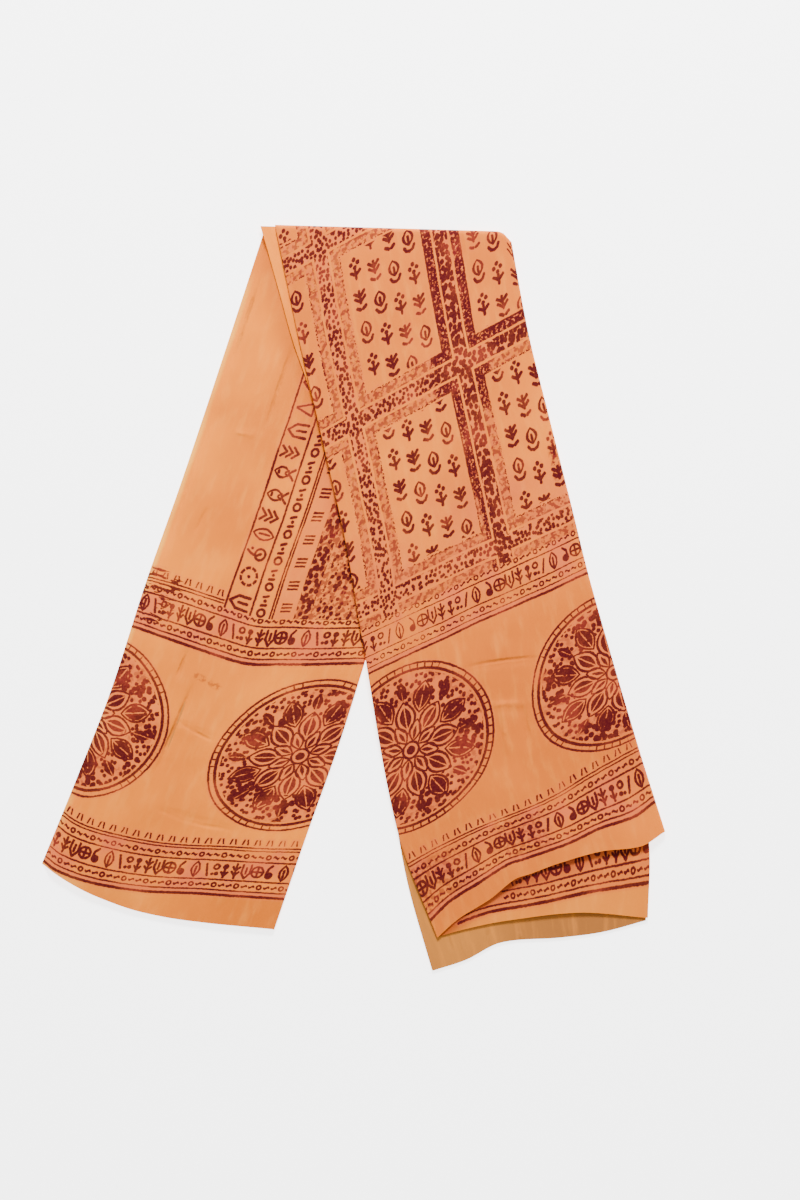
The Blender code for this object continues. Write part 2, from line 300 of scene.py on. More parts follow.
# start x, start y, end x, end y, width, height, in millimetres
BACK_CREASES = (
    (-92.0, 339.0, -123.0, 239.0, 2.0, -1.7),
    (-59.0, 264.0, -92.0, 165.0, 2.0, -1.4),
    (-122.0, 172.0, -97.0, 167.0, 2.5, 0.7),
    (-149.0, 95.0, -164.0, 65.0, 2.0, -0.9),
    (-132.0, 212.0, -196.0, 40.0, 2.6, -0.6),
    (-163.0, -86.0, -202.0, -180.0, 2.0, -2.4),
    (-169.0, -50.0, -181.0, -84.0, 2.0, -1.6),
    (-184.0, -125.0, -140.0, -146.0, 2.0, -1.0),
    (-205.0, -215.0, -118.0, -240.0, 2.5, -0.7),
    (-250.0, -110.0, -150.0, -140.0, 9.0, 0.6),
    (-60.0, -120.0, -72.0, -250.0, 8.0, 0.6),
    (-120.0, 200.0, -160.0, 60.0, 12.0, 0.8),
)
FRONT_CREASES = (
    (112.0, -72.0, 198.0, -62.0, 2.0, -1.0),
    (135.0, -110.0, 181.0, -109.0, 3.0, 0.9),
    (153.0, -106.0, 159.0, -160.0, 3.0, 1.2),
    (171.0, -104.0, 182.0, -160.0, 3.0, -1.1),
    (96.0, -175.0, 84.0, -240.0, 3.0, 0.4),
    (60.0, 206.0, 110.0, 226.0, 3.0, -0.4),
    (20.0, 330.0, 52.0, 60.0, 9.0, 0.7),
    (110.0, 350.0, 150.0, 120.0, 10.0, 0.8),
    (60.0, -20.0, 230.0, 40.0, 8.0, 0.6),
    (205.0, -20.0, 235.0, -120.0, 8.0, -0.7),
)
FOOT_CREASES = (
    (94.0, -338.0, 101.0, -372.0, 2.6, -0.9),
    (110.0, -336.0, 114.0, -370.0, 2.4, 0.8),
    (136.0, -338.0, 139.0, -362.0, 2.6, -0.8),
    (168.0, -338.0, 171.0, -357.0, 3.0, 0.6),
    (205.0, -332.0, 206.0, -349.0, 3.0, -0.6),
)
# Creases up to this width are sharp enough to show in the bump, and the narrowest also as painted
# shade in the colour
SHARP_CREASE = 3.0
# How much of a crease is left at its two ends, and how far it runs on beyond them
CREASE_END = 0.15
CREASE_OVERRUN = 0.2


def crease_height(creases, point):
    """The height that a table of creases adds at a place."""
    height = 0.0
    for start_x, start_y, end_x, end_y, width, rise in creases:
        start, end = in_frame(start_x, start_y), in_frame(end_x, end_y)
        run = end - start
        share = (point - start).dot(run) / run.length_squared
        if -CREASE_OVERRUN < share < 1.0 + CREASE_OVERRUN:
            held = min(max(share, 0.0), 1.0)
            away = (point - start - run * held).length / (width * MM)
            fade = ease(4.0 * held * (1.0 - held) + CREASE_END)
            height += rise * MM * fade * math.exp(-away * away)
    return height


def wave_height(point):
    """The slow waves of the cloth, which rise on average, to keep it clear of the floor."""
    slow = noise.noise(Vector((point.x, point.y * WAVE_STRETCH, WAVE_SLICE)) / WAVE_SIZE)
    small = noise.noise(Vector((point.x, point.y, SMALL_WAVE_SLICE)) / SMALL_WAVE_SIZE)
    return WAVE_HEIGHT * (0.5 + slow) + SMALL_WAVE_HEIGHT * (0.5 + small)


print(len(BACK_CREASES) + len(FRONT_CREASES) + len(FOOT_CREASES), "creases")

# %% [markdown]
# ## A sheet of cloth
#
# A sheet starts as a flat grid. Each point knows its shares of the width and the length, which
# give its place. Along a folded edge the grid is grown round a half turn, a few degrees at a
# time, and the sheet gets its thickness from Solidify. Its UV map holds the cloth's own
# coordinates in metres: across from the front leg's left fold, and up from the hem's print.

# %% Grow a sheet with folded edges
SHEET_THICKNESS = 0.00045
TURN_STEPS = 8

# Which share of a point, across or along, tells that it lies on an edge, and its value there
EDGES = {"left": (0, 0.0), "right": (0, 1.0), "head": (1, 0.0)}


class Fold:
    """A folded edge: how far it stands out, and how far down the turn brings the cloth."""

    def __init__(self, out, drop):
        self.out, self.drop = out, drop


def make_grid(across_count, along_count):
    """A grid whose points know their column and row."""
    shape = bmesh.new()
    bmesh.ops.create_grid(shape, x_segments=across_count, y_segments=along_count, size=1.0)
    column = shape.verts.layers.float.new("across")
    row = shape.verts.layers.float.new("along")
    for point in shape.verts:
        point[column] = round((point.co.x + 1.0) / 2.0 * across_count) / across_count
        point[row] = round((1.0 - point.co.y) / 2.0 * along_count) / along_count
    return shape, column, row


def on_edge(name, shares):
    """Whether a point with these shares lies on the named edge."""
    index, value = EDGES[name]
    return shares[index] == value


def turn_edge(shape, stretch, layers, folds):
    """Grow the folded edges round their turn."""
    column, row, arc = layers
    start = {}

    def shares(point):
        return point[column], point[row]

    def folded(edge):
        return any(all(on_edge(name, shares(point)) for point in edge.verts) for name in folds)

    ring = [edge for edge in shape.edges if edge.is_boundary and folded(edge)]
    for edge in ring:
        for point in edge.verts:
            start[shares(point)] = point.co.copy()
    for step in range(1, TURN_STEPS + 1):
        turn = math.pi * step / TURN_STEPS
        grown = bmesh.ops.extrude_edge_only(shape, edges=ring)["geom"]
        for point in grown:
            if not isinstance(point, bmesh.types.BMVert):
                continue
            across, along = shares(point)
            origin = start[(across, along)]
            out = Vector((0.0, 0.0))
            drop = 0.0
            for name, fold in folds.items():
                if on_edge(name, (across, along)):
                    out += stretch.outwards(name, across, along) * fold.out
                    drop = max(drop, fold.drop(origin))
            plan = origin.xy + out * math.sin(turn)
            point.co = (*plan, origin.z - drop / 2.0 * (1.0 - math.cos(turn)))
            point[arc] = drop / 2.0 * turn
        ring = [
            edge
            for edge in grown
            if isinstance(edge, bmesh.types.BMEdge)
            and edge.is_boundary
            and shares(edge.verts[0]) != shares(edge.verts[1])
        ]


# %% Make one sheet
def sort_by_place(parts):
    """Sort edges or faces by their corners, because an extrusion may add its own in any order."""
    by_place = sorted(parts, key=lambda part: sorted(tuple(point.co) for point in part.verts))
    for index, part in enumerate(by_place):
        part.index = index
    parts.sort()


def finish_piece(name, shape):
    """Make an object of a finished shape, with the thickness of the cloth."""
    mesh = bpy.data.meshes.new(name)
    shape.to_mesh(mesh)
    shape.free()
    piece = bpy.data.objects.new(name, mesh)
    bpy.context.scene.collection.objects.link(piece)
    thickness = piece.modifiers.new("Thickness", "SOLIDIFY")
    thickness.thickness = SHEET_THICKNESS
    thickness.offset = -1.0
    print(name, len(mesh.polygons), "faces")
    return piece


def make_sheet(name, stretch, height, cloth_place, spacing, folds):
    """A sheet over its solid, with the cloth's own coordinates as its UV map."""
    length = (stretch.place(0.5, 1.0) - stretch.place(0.5, 0.0)).length
    shape, column, row = make_grid(round(stretch.width(0.5) / spacing), round(length / spacing))
    arc = shape.verts.layers.float.new("arc")
    for point in shape.verts:
        across, along = point[column], point[row]
        plan = stretch.place(across, along)
        point.co = (*plan, height(across, along, plan))
    turn_edge(shape, stretch, (column, row, arc), folds)
    sort_by_place(shape.edges)
    sort_by_place(shape.faces)
    cloth = shape.loops.layers.uv.new("cloth")
    for edge in shape.edges:
        edge.smooth = not edge.is_boundary
    for face in shape.faces:
        face.smooth = True
        for loop in face.loops:
            point = loop.vert
            loop[cloth].uv = cloth_place(point[column], point[row], point[arc])
    bmesh.ops.recalc_face_normals(shape, faces=shape.faces)
    if max(shape.faces, key=lambda face: face.calc_center_median().z).normal.z < 0.0:
        bmesh.ops.reverse_faces(shape, faces=shape.faces)
    return finish_piece(name, shape)


# %% [markdown]
# ## Where the print lies
#
# The blocks printed the whole cloth before it was folded, so the pattern is drawn in the
# cloth's own coordinates. Going across, the front leg's left fold is 0, its outer fold at the
# right is one strip width, and the selvedge of the back leg is two. Going up, 0 is the thick
# line above the hem. The bare margin below that line is wider in some places than in others.

# %% Cloth coordinates of each sheet
STRIP = 0.250

# Length of each stretch of cloth down its left and its right edge
FRONT_LENGTH = (0.754, 0.639)
SECOND_LENGTH = (0.754, 0.729)
BACK_LENGTH = (0.686, 0.752)

# The front leg's folds slant a little across the print, by this share of the width
FRONT_SLANT = 0.06

# Bare margin below the print, in millimetres, at shares of the width
FRONT_MARGIN = ((0.0, 19.5), (0.25, 22.0), (0.40, 18.0), (0.62, 18.0), (0.80, 28.0), (1.0, 34.0))
SECOND_MARGIN = ((0.0, 5.0), (0.30, 11.0), (0.55, 11.0), (0.80, 19.0), (1.0, 24.0))
BACK_MARGIN = ((0.0, 3.0), (0.06, 3.0), (0.30, 15.0), (0.60, 28.0), (1.0, 34.0))

# How far the upper border sags, in millimetres, at shares of the width
FRONT_SAG = ((0.0, -5.0), (0.5, 1.0), (1.0, 10.0))
BACK_SAG = (
    (0.0, 0.0), (0.08, 0.0), (0.21, 1.5), (0.38, 6.5),
    (0.52, 11.0), (0.65, 8.0), (0.80, 5.0), (1.0, 0.0),
)
SAG_AT = 0.257
SAG_HOLD = 0.09
SAG_FADE = 0.2

# From this height on, the margin's waves no longer show in the print
EVEN_AT = 0.22

# The front leg's lower border is printed taller, fully up to the first height
FRONT_TALLER = 0.13
TALLER_TO = 0.04
TALLER_FADE = 0.10


def up_the_cloth(across, along, lengths, margin, sag=NOTHING, taller=0.0):
    """The distance up the cloth from the thick line above the hem."""
    length = lengths[0] + across * (lengths[1] - lengths[0])
    straight = margin[0][1] + across * (margin[-1][1] - margin[0][1])
    wavy = 1.0 - ease((1.0 - along) * length / EVEN_AT)
    up = (1.0 - along) * length - (straight + (read_table(margin, across) - straight) * wavy) * MM
    up *= 1.0 - taller * (1.0 - ease((up - TALLER_TO) / TALLER_FADE))
    sagging = ease(up / SAG_AT) * (1.0 - ease((up - SAG_AT - SAG_HOLD) / SAG_FADE))
    return up + read_table(sag, across) * MM * sagging


# Each of these gives a point's place on the cloth, in metres. The arc is how far the point has
# gone round the turn of a fold.
def front_cloth(across, along, arc):
    turned = arc if across == 1.0 else -arc if across == 0.0 else 0.0
    over_head = arc if along == 0.0 else 0.0
    up = up_the_cloth(across, along, FRONT_LENGTH, FRONT_MARGIN, FRONT_SAG, FRONT_TALLER)
    return ((across + FRONT_SLANT * along) * STRIP + turned, up + over_head)


def second_cloth(across, along, arc):
    turned = arc if across == 1.0 else 0.0
    up = up_the_cloth(across, along, SECOND_LENGTH, SECOND_MARGIN)
    return (-(across + FRONT_SLANT * along) * STRIP - turned, up)


def back_cloth(across, along, arc):
    turned = arc if across == 1.0 else 0.0
    up = up_the_cloth(across, along, BACK_LENGTH, BACK_MARGIN, BACK_SAG)
    return ((2.0 - across) * STRIP - turned, up)


print("the cloth is %.2f m wide, in four strips" % (4 * STRIP))

# %% [markdown]
# ## The sheets of the back leg
#
# The back leg has four layers. The top one ends in a selvedge at the left, which slopes down to
# the floor over the edges of the three below, and turns round the outer fold at the right.
# The printed sheets have a fine mesh, and the plain ones below them a coarser one.

# %% Back leg
FINE = 0.0032
PLAIN = 0.0060
ON_FLOOR = 0.0001
SELVEDGE_STRIP = 0.015
SELVEDGE_WAVES = 0.3
BACK_FOLD_OUT = 0.0025
BACK_HEAD_OUT = 0.004


def back_top_height(across, along, plan):
    flat = ease(across * back_top_plan.width(along) / SELVEDGE_STRIP)
    low = SHEET_THICKNESS + ON_FLOOR
    lift = wave_height(plan) + crease_height(BACK_CREASES, plan)
    lift *= SELVEDGE_WAVES + (1.0 - SELVEDGE_WAVES) * flat
    return low + (back_height - low) * flat + lift


def to_the_floor(origin):
    """The drop of a fold that turns under the whole leg."""
    return origin.z - ON_FLOOR


back_top_plan = Stretch(BACK_SECTIONS, BACK_HEM, BACK_BOW_FROM, 0.0, BACK_FOLD_OUT, BACK_HEAD_OUT)
back_fold = Fold(BACK_FOLD_OUT, to_the_floor)
back_folds = {"right": back_fold, "head": back_fold}
back_top = make_sheet("back_top_sheet", back_top_plan, back_top_height, back_cloth, FINE, back_folds)

# %% The hidden layers of a leg
LOWEST_WAVES = 0.2


def plain_sheet(name, plan, bed, level, waves):
    """One hidden layer, which shows only at its edges."""

    def height(across, along, point):
        return bed(point) + level + wave_height(point) * waves

    def cloth(across, along, arc):
        return (across * STRIP, up_the_cloth(across, along, BACK_LENGTH, NOTHING))

    return make_sheet(name, plan, height, cloth, PLAIN, {})


def hidden_sheets(name, steps, sections, hem, bow_from, head, bed, wavier, peek=NOTHING):
    """The hidden layers of a leg, from the lowest up: each is wavier than the one below it."""
    sheets = []
    for number, (left, right, hem_step) in enumerate(steps):
        lowered = tuple((across, bow + hem_step) for across, bow in hem)
        plan = Stretch(sections, lowered, bow_from, left * MM, right * MM, head, peek)
        level = (number + 1) * LAYER - ON_FLOOR
        waves = LOWEST_WAVES + wavier * number
        sheets.append(plain_sheet("%s_%d" % (name, number + 1), plan, bed, level, waves))
    return sheets


# left inset, right inset, hem step of each hidden layer, from the lowest up, in millimetres
BACK_STEPS = ((17.0, 4.0, -1.2), (20.0, 5.0, -2.4), (18.0, 4.5, -0.5))
BACK_STEPS_HEAD = 0.006
back_hidden = hidden_sheets(
    "back_lower_sheet", BACK_STEPS, BACK_SECTIONS, BACK_HEM, BACK_BOW_FROM,
    BACK_STEPS_HEAD, floor_bed, 0.25,
)

# %% [markdown]
# ## The sheets of the front leg
#
# The top layer covers the leg and turns round three folds: the left one that joins it to the
# second layer, the outer one at the right, and the one across the strip at the top. The second
# layer shows its wrong side at the foot. The two lowest end in selvedges at the left.

# %% Front leg
SIDE_FOLD_OUT = 0.0012
OUTER_FOLD_OUT = 0.0025
HEAD_FOLD_OUT = 0.0045
SECOND_INSET = 0.0060
SECOND_WAVES = 0.8
COARSER = 1.3


def front_top_height(across, along, plan):
    lift = hem_lift(TOP_HEM_RIPPLE, TOP_HEM_LIFT, across, along)
    lift += wave_height(plan) + crease_height(FRONT_CREASES, plan)
    return front_bed(plan) + FRONT_TOP + lift


front_top_plan = Stretch(
    FRONT_SECTIONS + TOP_LAYER_FOOT, TOP_LAYER_HEM, FRONT_BOW_FROM,
    SIDE_FOLD_OUT, OUTER_FOLD_OUT, HEAD_FOLD_OUT, corner=HEAD_CORNER,
)
front_folds = {
    "left": Fold(SIDE_FOLD_OUT, lambda origin: FRONT_TOP - SECOND_TOP + SHEET_THICKNESS),
    "right": Fold(OUTER_FOLD_OUT, to_the_floor),
    "head": Fold(HEAD_FOLD_OUT, to_the_floor),
}
front_top = make_sheet(
    "front_top_sheet", front_top_plan, front_top_height, front_cloth, FINE, front_folds
)


def second_height(across, along, plan):
    lift = hem_lift(SECOND_HEM_RIPPLE, SECOND_HEM_LIFT, across, along)
    return front_bed(plan) + SECOND_TOP + lift + SECOND_WAVES * wave_height(plan)


second_plan = Stretch(
    FRONT_SECTIONS + SECOND_LAYER_FOOT, SECOND_LAYER_HEM, FRONT_BOW_FROM,
    SIDE_FOLD_OUT, SECOND_INSET, SECOND_INSET,
)
front_second = make_sheet(
    "front_second_sheet", second_plan, second_height, second_cloth, FINE * COARSER,
    {"right": Fold(SIDE_FOLD_OUT, lambda origin: SECOND_TOP - 2 * LAYER + SHEET_THICKNESS)},
)

# left inset, right inset, hem step of the two lowest layers, from the lowest up, in millimetres
FRONT_STEPS = ((-0.4, 7.0, -0.9), (0.0, 6.5, 0.0))
FRONT_STEPS_HEAD = 0.002
front_hidden = hidden_sheets(
    "front_lower_sheet", FRONT_STEPS, FRONT_SECTIONS + LOWER_LAYERS_FOOT, LOWER_LAYERS_HEM,
    FRONT_BOW_FROM, FRONT_STEPS_HEAD, front_bed, 0.3, FRONT_PEEK,
)

# %% [markdown]
# ## Writing a material as arithmetic
#
# A block print is drawn here as distances: each shape says how far a place on the cloth is
# from its edge, negative inside, and the smallest of them all is the distance to the ink. To
# keep that readable, a small class wraps a socket, and sums and products of wrapped sockets
# add the Math nodes.

# %% Sockets as values
class Value:
    """A socket of the material that is being made."""

    tree = None

    def __init__(self, socket):
        self.socket = socket

    @staticmethod
    def node(kind, settings=None, inputs=None, output=0):
        """Add any node: its settings first, and then the values or links of its sockets."""
        made = Value.tree.nodes.new(kind)
        for name, setting in (settings or {}).items():
            setattr(made, name, setting)
        for name, given in (inputs or {}).items():
            if isinstance(given, Value):
                Value.tree.links.new(given.socket, made.inputs[name])
            else:
                made.inputs[name].default_value = given
        return Value(made.outputs[output])

    @staticmethod
    def math(operation, *values, clamp=False):
        settings = {"operation": operation, "use_clamp": clamp}
        return Value.node("ShaderNodeMath", settings, dict(enumerate(values)))

    def __add__(self, other):
        return Value.math("ADD", self, other)

    def __radd__(self, other):
        return Value.math("ADD", other, self)

    def __sub__(self, other):
        return Value.math("SUBTRACT", self, other)

    def __rsub__(self, other):
        return Value.math("SUBTRACT", other, self)

    def __mul__(self, other):
        return Value.math("MULTIPLY", self, other)

    def __rmul__(self, other):
        return Value.math("MULTIPLY", other, self)

    def __truediv__(self, other):
        return Value.math("DIVIDE", self, other)

    def __mod__(self, other):
        return Value.math("FLOORED_MODULO", self, other)

    def __neg__(self):
        return Value.math("MULTIPLY", self, -1.0)

    def __abs__(self):
        return Value.math("ABSOLUTE", self)

    def __gt__(self, other):
        return Value.math("GREATER_THAN", self, other)

    def __lt__(self, other):
        return Value.math("LESS_THAN", self, other)


# %% Unions, clouds and places
def union(shapes):
    """The smallest of many distances, taken shape by shape as they are drawn."""
    return functools.reduce(lambda one, two: Value.math("MINIMUM", one, two), shapes)


def lowest(*values):
    """The smallest of a few values."""
    return union(values)


def highest(*values):
    """The largest of a few values. Of distances, it is where their shapes overlap."""
    return functools.reduce(lambda one, two: Value.math("MAXIMUM", one, two), values)


def vector(operation, *values, output=0):
    settings = {"operation": operation}
    return Value.node("ShaderNodeVectorMath", settings, dict(enumerate(values)), output)


def point_at(x, y):
    return Value.node("ShaderNodeCombineXYZ", {}, {"X": x, "Y": y})


def separate(place):
    """The x and the y of a place."""
    return [Value.node("ShaderNodeSeparateXYZ", {}, {"Vector": place}, axis) for axis in (0, 1)]


def smooth(value, low, high, low_result=0.0, high_result=1.0):
    """Go smoothly from one result to the other."""
    names = ("Value", "From Min", "From Max", "To Min", "To Max")
    inputs = dict(zip(names, (value, low, high, low_result, high_result)))
    return Value.node("ShaderNodeMapRange", {"interpolation_type": "SMOOTHSTEP"}, inputs)


def near(value, middle, inner, outer, most=1.0):
    """The most up to the inner distance from a middle, and nothing beyond the outer one."""
    return smooth(abs(value - middle), inner, outer, most, 0.0)


# How clouds are drawn out: a share below 1 makes them longer across, or else up the cloth
EVEN = (1.0, 1.0, 1.0)
RUMPLES = (1.4, 0.6, 1.0)
STREAKS = (1.0, 0.25, 1.0)
HATCHES = (1.0, 0.35, 1.0)
DRIFTS = (0.7, 1.6, 1.0)
SMEARS = (0.45, 2.0, 1.0)


def cloudy(place, size, detail=2.0, drawn_out=EVEN):
    """Smooth noise from 0 to 1, with clouds about as wide as size in millimetres."""
    scaled = vector("MULTIPLY", place, tuple(share / size for share in drawn_out))
    return Value.node("ShaderNodeTexNoise", {}, {"Vector": scaled, "Scale": 1.0, "Detail": detail})


def dabs(place, wide, tall):
    """Distance from the nearest of many scattered points, wide and tall millimetres apart."""
    scaled = vector("MULTIPLY", place, (1.0 / wide, 1.0 / tall, 0.0))
    inputs = {"Vector": scaled, "Scale": 1.0}
    return Value.node("ShaderNodeTexVoronoi", {"voronoi_dimensions": "2D"}, inputs)


def mixed(share, one, two):
    """A mix of two colours."""
    settings = {"data_type": "RGBA"}
    return Value.node("ShaderNodeMix", settings, {0: share, 6: one, 7: two}, 2)


# %% [markdown]
# ## Shapes that a block can carry
#
# A carver cuts strokes, rings, dots and leaves. Each function gives the distance in
# millimetres from a place to the edge of one such shape.

# %% Strokes, rings, dots and leaves
CREASE_BOW = 0.08


def stroke(place, start, end, half):
    """A straight stroke with round ends."""
    run = (end[0] - start[0], end[1] - start[1], 0.0)
    square = run[0] ** 2 + run[1] ** 2
    away = vector("SUBTRACT", place, (*start, 0.0))
    along = vector("DOT_PRODUCT", away, run, output=1)
    share = Value.math("MULTIPLY", along, 1.0 / square, clamp=True)
    nearest = Value.node("ShaderNodeVectorMath", {"operation": "SCALE"}, {0: run, 3: share})
    return vector("DISTANCE", away, nearest, output=1) - half


def strokes(place, points, half):
    """Strokes from each point to the next."""
    return union(stroke(place, start, end, half) for start, end in zip(points, points[1:]))


def disc(place, centre, radius):
    return vector("DISTANCE", place, (*centre, 0.0), output=1) - radius


def ring(place, centre, radius, half):
    return abs(disc(place, centre, radius)) - half


def crease(place, start, end):
    """Distance from a slightly bowed crease, and how strong it is: fully at its middle."""
    run = (end[0] - start[0], end[1] - start[1])
    length = math.hypot(*run)
    down_the_run = (run[0] / length ** 2, run[1] / length ** 2, 0.0)
    over_the_run = (-run[1] / length, run[0] / length, 0.0)
    away = vector("SUBTRACT", place, (*start, 0.0))
    share = vector("DOT_PRODUCT", away, down_the_run, output=1) - 0.5
    beside = vector("DOT_PRODUCT", away, over_the_run, output=1)
    bowed = abs(beside + (share * share - 0.25) * (CREASE_BOW * length))
    return bowed, smooth(abs(share), 0.10, 0.52, 1.0, 0.0)


def leaf(x, y, length, width):
    """A leaf of that half length along y and half width along x, in a place's own x and y."""
    along = y / length
    return abs(x) - (1.0 - along * along) * width


def line(y, at, half):
    return abs(y - at) - half


# %% [markdown]
# ## The place on the cloth
#
# Every shape is drawn in millimetres of cloth: x across and y up from the thick line above the
# hem. Hand printing is never quite even, so the place is nudged by two noises before any
# shape is drawn: one that lets long lines wander, and a fine one that roughens edges.

# %% Uneven millimetres
WANDER = 3.0
WANDER_SIZE = 75.0
ROUGH = 0.9
ROUGH_SIZE = 5.0


def nudged(place, size, amount):
    """A place pushed about by noise, by half the amount at most."""
    scaled = vector("MULTIPLY", place, (1.0 / size, 1.0 / size, 0.0))
    push = Value.node("ShaderNodeTexNoise", {}, {"Vector": scaled, "Scale": 1.0, "Detail": 1.0}, 1)
    centred = vector("ADD", place, (-amount / 2.0, -amount / 2.0, 0.0))
    return vector("MULTIPLY_ADD", push, (amount, amount, 0.0), centred)


def cloth_millimetres():
    """The true place, the place as printed, and the printed x and y."""
    metres = Value.node("ShaderNodeUVMap", {"uv_map": "cloth"})
    flat = vector("MULTIPLY", metres, (1.0 / MM, 1.0 / MM, 0.0))
    place = nudged(nudged(flat, WANDER_SIZE, WANDER), ROUGH_SIZE, ROUGH)
    return flat, place, *separate(place)


# A shape is left out where this is added to its distance
FAR = 9.0
print("lines wander by up to %.1f mm" % (WANDER / 2.0))

# %% [markdown]
# ## The border
#
# The same long block printed both borders, the one above the hem and the one above the
# medallions. It carries a thick line, thin lines, two rows of dashes with small rings, and
# between them a row of eight motifs: a paisley, a wheel, a pointed arch, a sprig, a bud, a ring
# over two dots, a slanting stroke and a leaf. The repeat is charted below.

# %% The border block
# Height of the upper border's thick line, and of its top edge; how far its repeat is shifted;
# and the height from which on a place counts as in the upper border
UPPER_BORDER = 257.0
BORDER_TOP = UPPER_BORDER + 46.0
UPPER_SHIFT = 31.0
HALF_WAY_UP = UPPER_BORDER - 80.0

MOTIF_ROW = 27.3
DASH_ROW = 16.7
DASH_REPEAT = 7.6
MOTIF_REPEAT = 89.0
TICK_ROW = 59.5
TICK_REPEAT = 12.5
TICK_FAINT = 0.3
TICK_APART = 2.2
TICK_SLANT = 0.2

# height, half width; the second table's lines are in the lower border only
BORDER_LINES = ((0.0, 1.2), (5.2, 0.55), (16.6, 0.6), (38.2, 0.6))
LOWER_BORDER_LINES = ((50.4, 0.4), (53.6, 0.45))

# start x, start y, end x, end y
PAISLEY = ((7.6, -1.6, 6.8, 3.8), (6.8, 3.8, 3.4, 7.6))
WHEEL = ((16.9, -5.0, 16.9, 5.0), (11.9, 0.0, 21.9, 0.0))
ARCH = (
    (24.4, 7.2, 24.2, -1.5), (24.2, -1.5, 28.5, -7.8), (28.5, -7.8, 32.8, -1.5),
    (32.8, -1.5, 32.6, 7.2), (28.5, -2.4, 28.5, 4.0),
)
SLANTING_STROKE = ((66.0, -6.6, 69.6, 6.2),)

# The middle lines of the sprig, the bud and the leaf, which are alike on both sides
SPRIG_X = 39.2
BUD_X = 49.8
LEAF_X = 79.5
STEMS = (
    (SPRIG_X, 7.8, SPRIG_X, -7.8), (BUD_X, 2.0, BUD_X, -7.8), (LEAF_X, 3.0, LEAF_X, -7.8),
)
MOTIF_STROKES = PAISLEY + WHEEL + ARCH + SLANTING_STROKE + STEMS

# centre x, centre y, radius
MOTIF_RINGS = ((16.9, 0.0, 5.8), (58.8, 3.6, 2.6))
MOTIF_DOTS = (
    (5.0, -3.2, 3.8), (16.9, 0.0, 1.8), (BUD_X, 4.2, 2.7), (57.4, -4.2, 2.0), (61.4, -4.8, 1.5),
)

# Half the width of a stroke, and of a finer one
MOTIF_HALF = 1.0
TWIG_HALF = 0.95


def row_of_dashes(x, up):
    """Wavy dashes, with a small ring in place of every third one."""
    dash_x = x % DASH_REPEAT - DASH_REPEAT / 2.0
    dash_y = abs(up - MOTIF_ROW) - DASH_ROW
    wave = dash_y - 0.8 * Value.math("SINE", dash_x)
    has_ring = Value.math("FLOOR", x / DASH_REPEAT) % 3.0 < 0.5
    dash = vector("LENGTH", point_at(highest(abs(dash_x) - 2.0, 0.0), wave), output=1) - 1.0
    yield dash + has_ring * FAR
    yield ring(point_at(dash_x, dash_y), (0.0, 0.0), 2.1, 0.7) + (1.0 - has_ring) * FAR


def row_of_motifs(x, y):
    """One repeat of the eight motifs."""
    place = point_at(x, y)
    for start_x, start_y, end_x, end_y in MOTIF_STROKES:
        yield stroke(place, (start_x, start_y), (end_x, end_y), MOTIF_HALF)
    for centre_x, centre_y, radius in MOTIF_RINGS:
        yield ring(place, (centre_x, centre_y), radius, MOTIF_HALF)
    for centre_x, centre_y, radius in MOTIF_DOTS:
        yield disc(place, (centre_x, centre_y), radius)
    twigs = point_at(abs(x - SPRIG_X), y)
    for foot in (-5.0, 0.5):
        yield stroke(twigs, (0.0, foot), (3.4, foot + 4.0), TWIG_HALF)
    yield stroke(point_at(abs(x - BUD_X), y), (0.4, -5.6), (3.0, -2.2), TWIG_HALF)
    yield abs(leaf(x - LEAF_X, y, 8.4, 4.0)) - TWIG_HALF


def border_shapes(x, up, motif_x, bare):
    """Draw the shapes of the border one after another; where it is bare it has no ticks."""
    lower_only = bare * FAR
    for at, half in BORDER_LINES:
        yield line(up, at, half)
    for at, half in LOWER_BORDER_LINES:
        yield line(up, at, half) + lower_only
    yield from row_of_dashes(x, up)
    tick_y = up - TICK_ROW
    tick_x = abs(x % TICK_REPEAT - TICK_REPEAT / 2.0)
    tick_x = abs(tick_x - TICK_APART + tick_y * TICK_SLANT) - 0.8
    yield highest(tick_x, abs(tick_y) - 3.2) + lower_only + TICK_FAINT
    yield from row_of_motifs(motif_x, up - MOTIF_ROW)


def border(x, y, ticked=0.0):
    """Distance to the ink of both borders, the height in the border, and the place in its repeat."""
    upper = y > HALF_WAY_UP
    up = y - upper * UPPER_BORDER
    motif_x = (x + upper * UPPER_SHIFT) % MOTIF_REPEAT
    return union(border_shapes(x, up, motif_x, upper * (1.0 - ticked))), up, motif_x


print(len(MOTIF_STROKES), "strokes,", len(MOTIF_RINGS), "rings and", len(MOTIF_DOTS), "dots a repeat")

# %% [markdown]
# ## The medallions
#
# Between the borders stand large oval medallions. Each holds a plain lotus rosette: petals in
# three rounds, filled leaves, a ring of dots and a hatched rim, on a ground flecked with ink.
# Folding the angle into one sector draws a whole round of petals with a single petal's shape.

# %% The medallion block
MEDALLION_ROUND = 84.0
MEDALLION_STRETCH = (MEDALLION_ROUND / 89.0, MEDALLION_ROUND / 83.0)

# centre x, centre y of the two medallions on each leg
FRONT_MEDALLIONS = ((40.5, 165.0), (261.5, 147.0))
BACK_MEDALLIONS = ((283.0, 157.0), (516.0, 157.0))
PETALS = 8
RIM_DOTS = 26
RIM_TICKS = 64

# The heart's radius; then middle radius and half width of each plain ring, the heart's first
HEART = 4.0
MEDALLION_RINGS = ((8.0, 0.9), (78.0, 1.2), (MEDALLION_ROUND, 0.7))

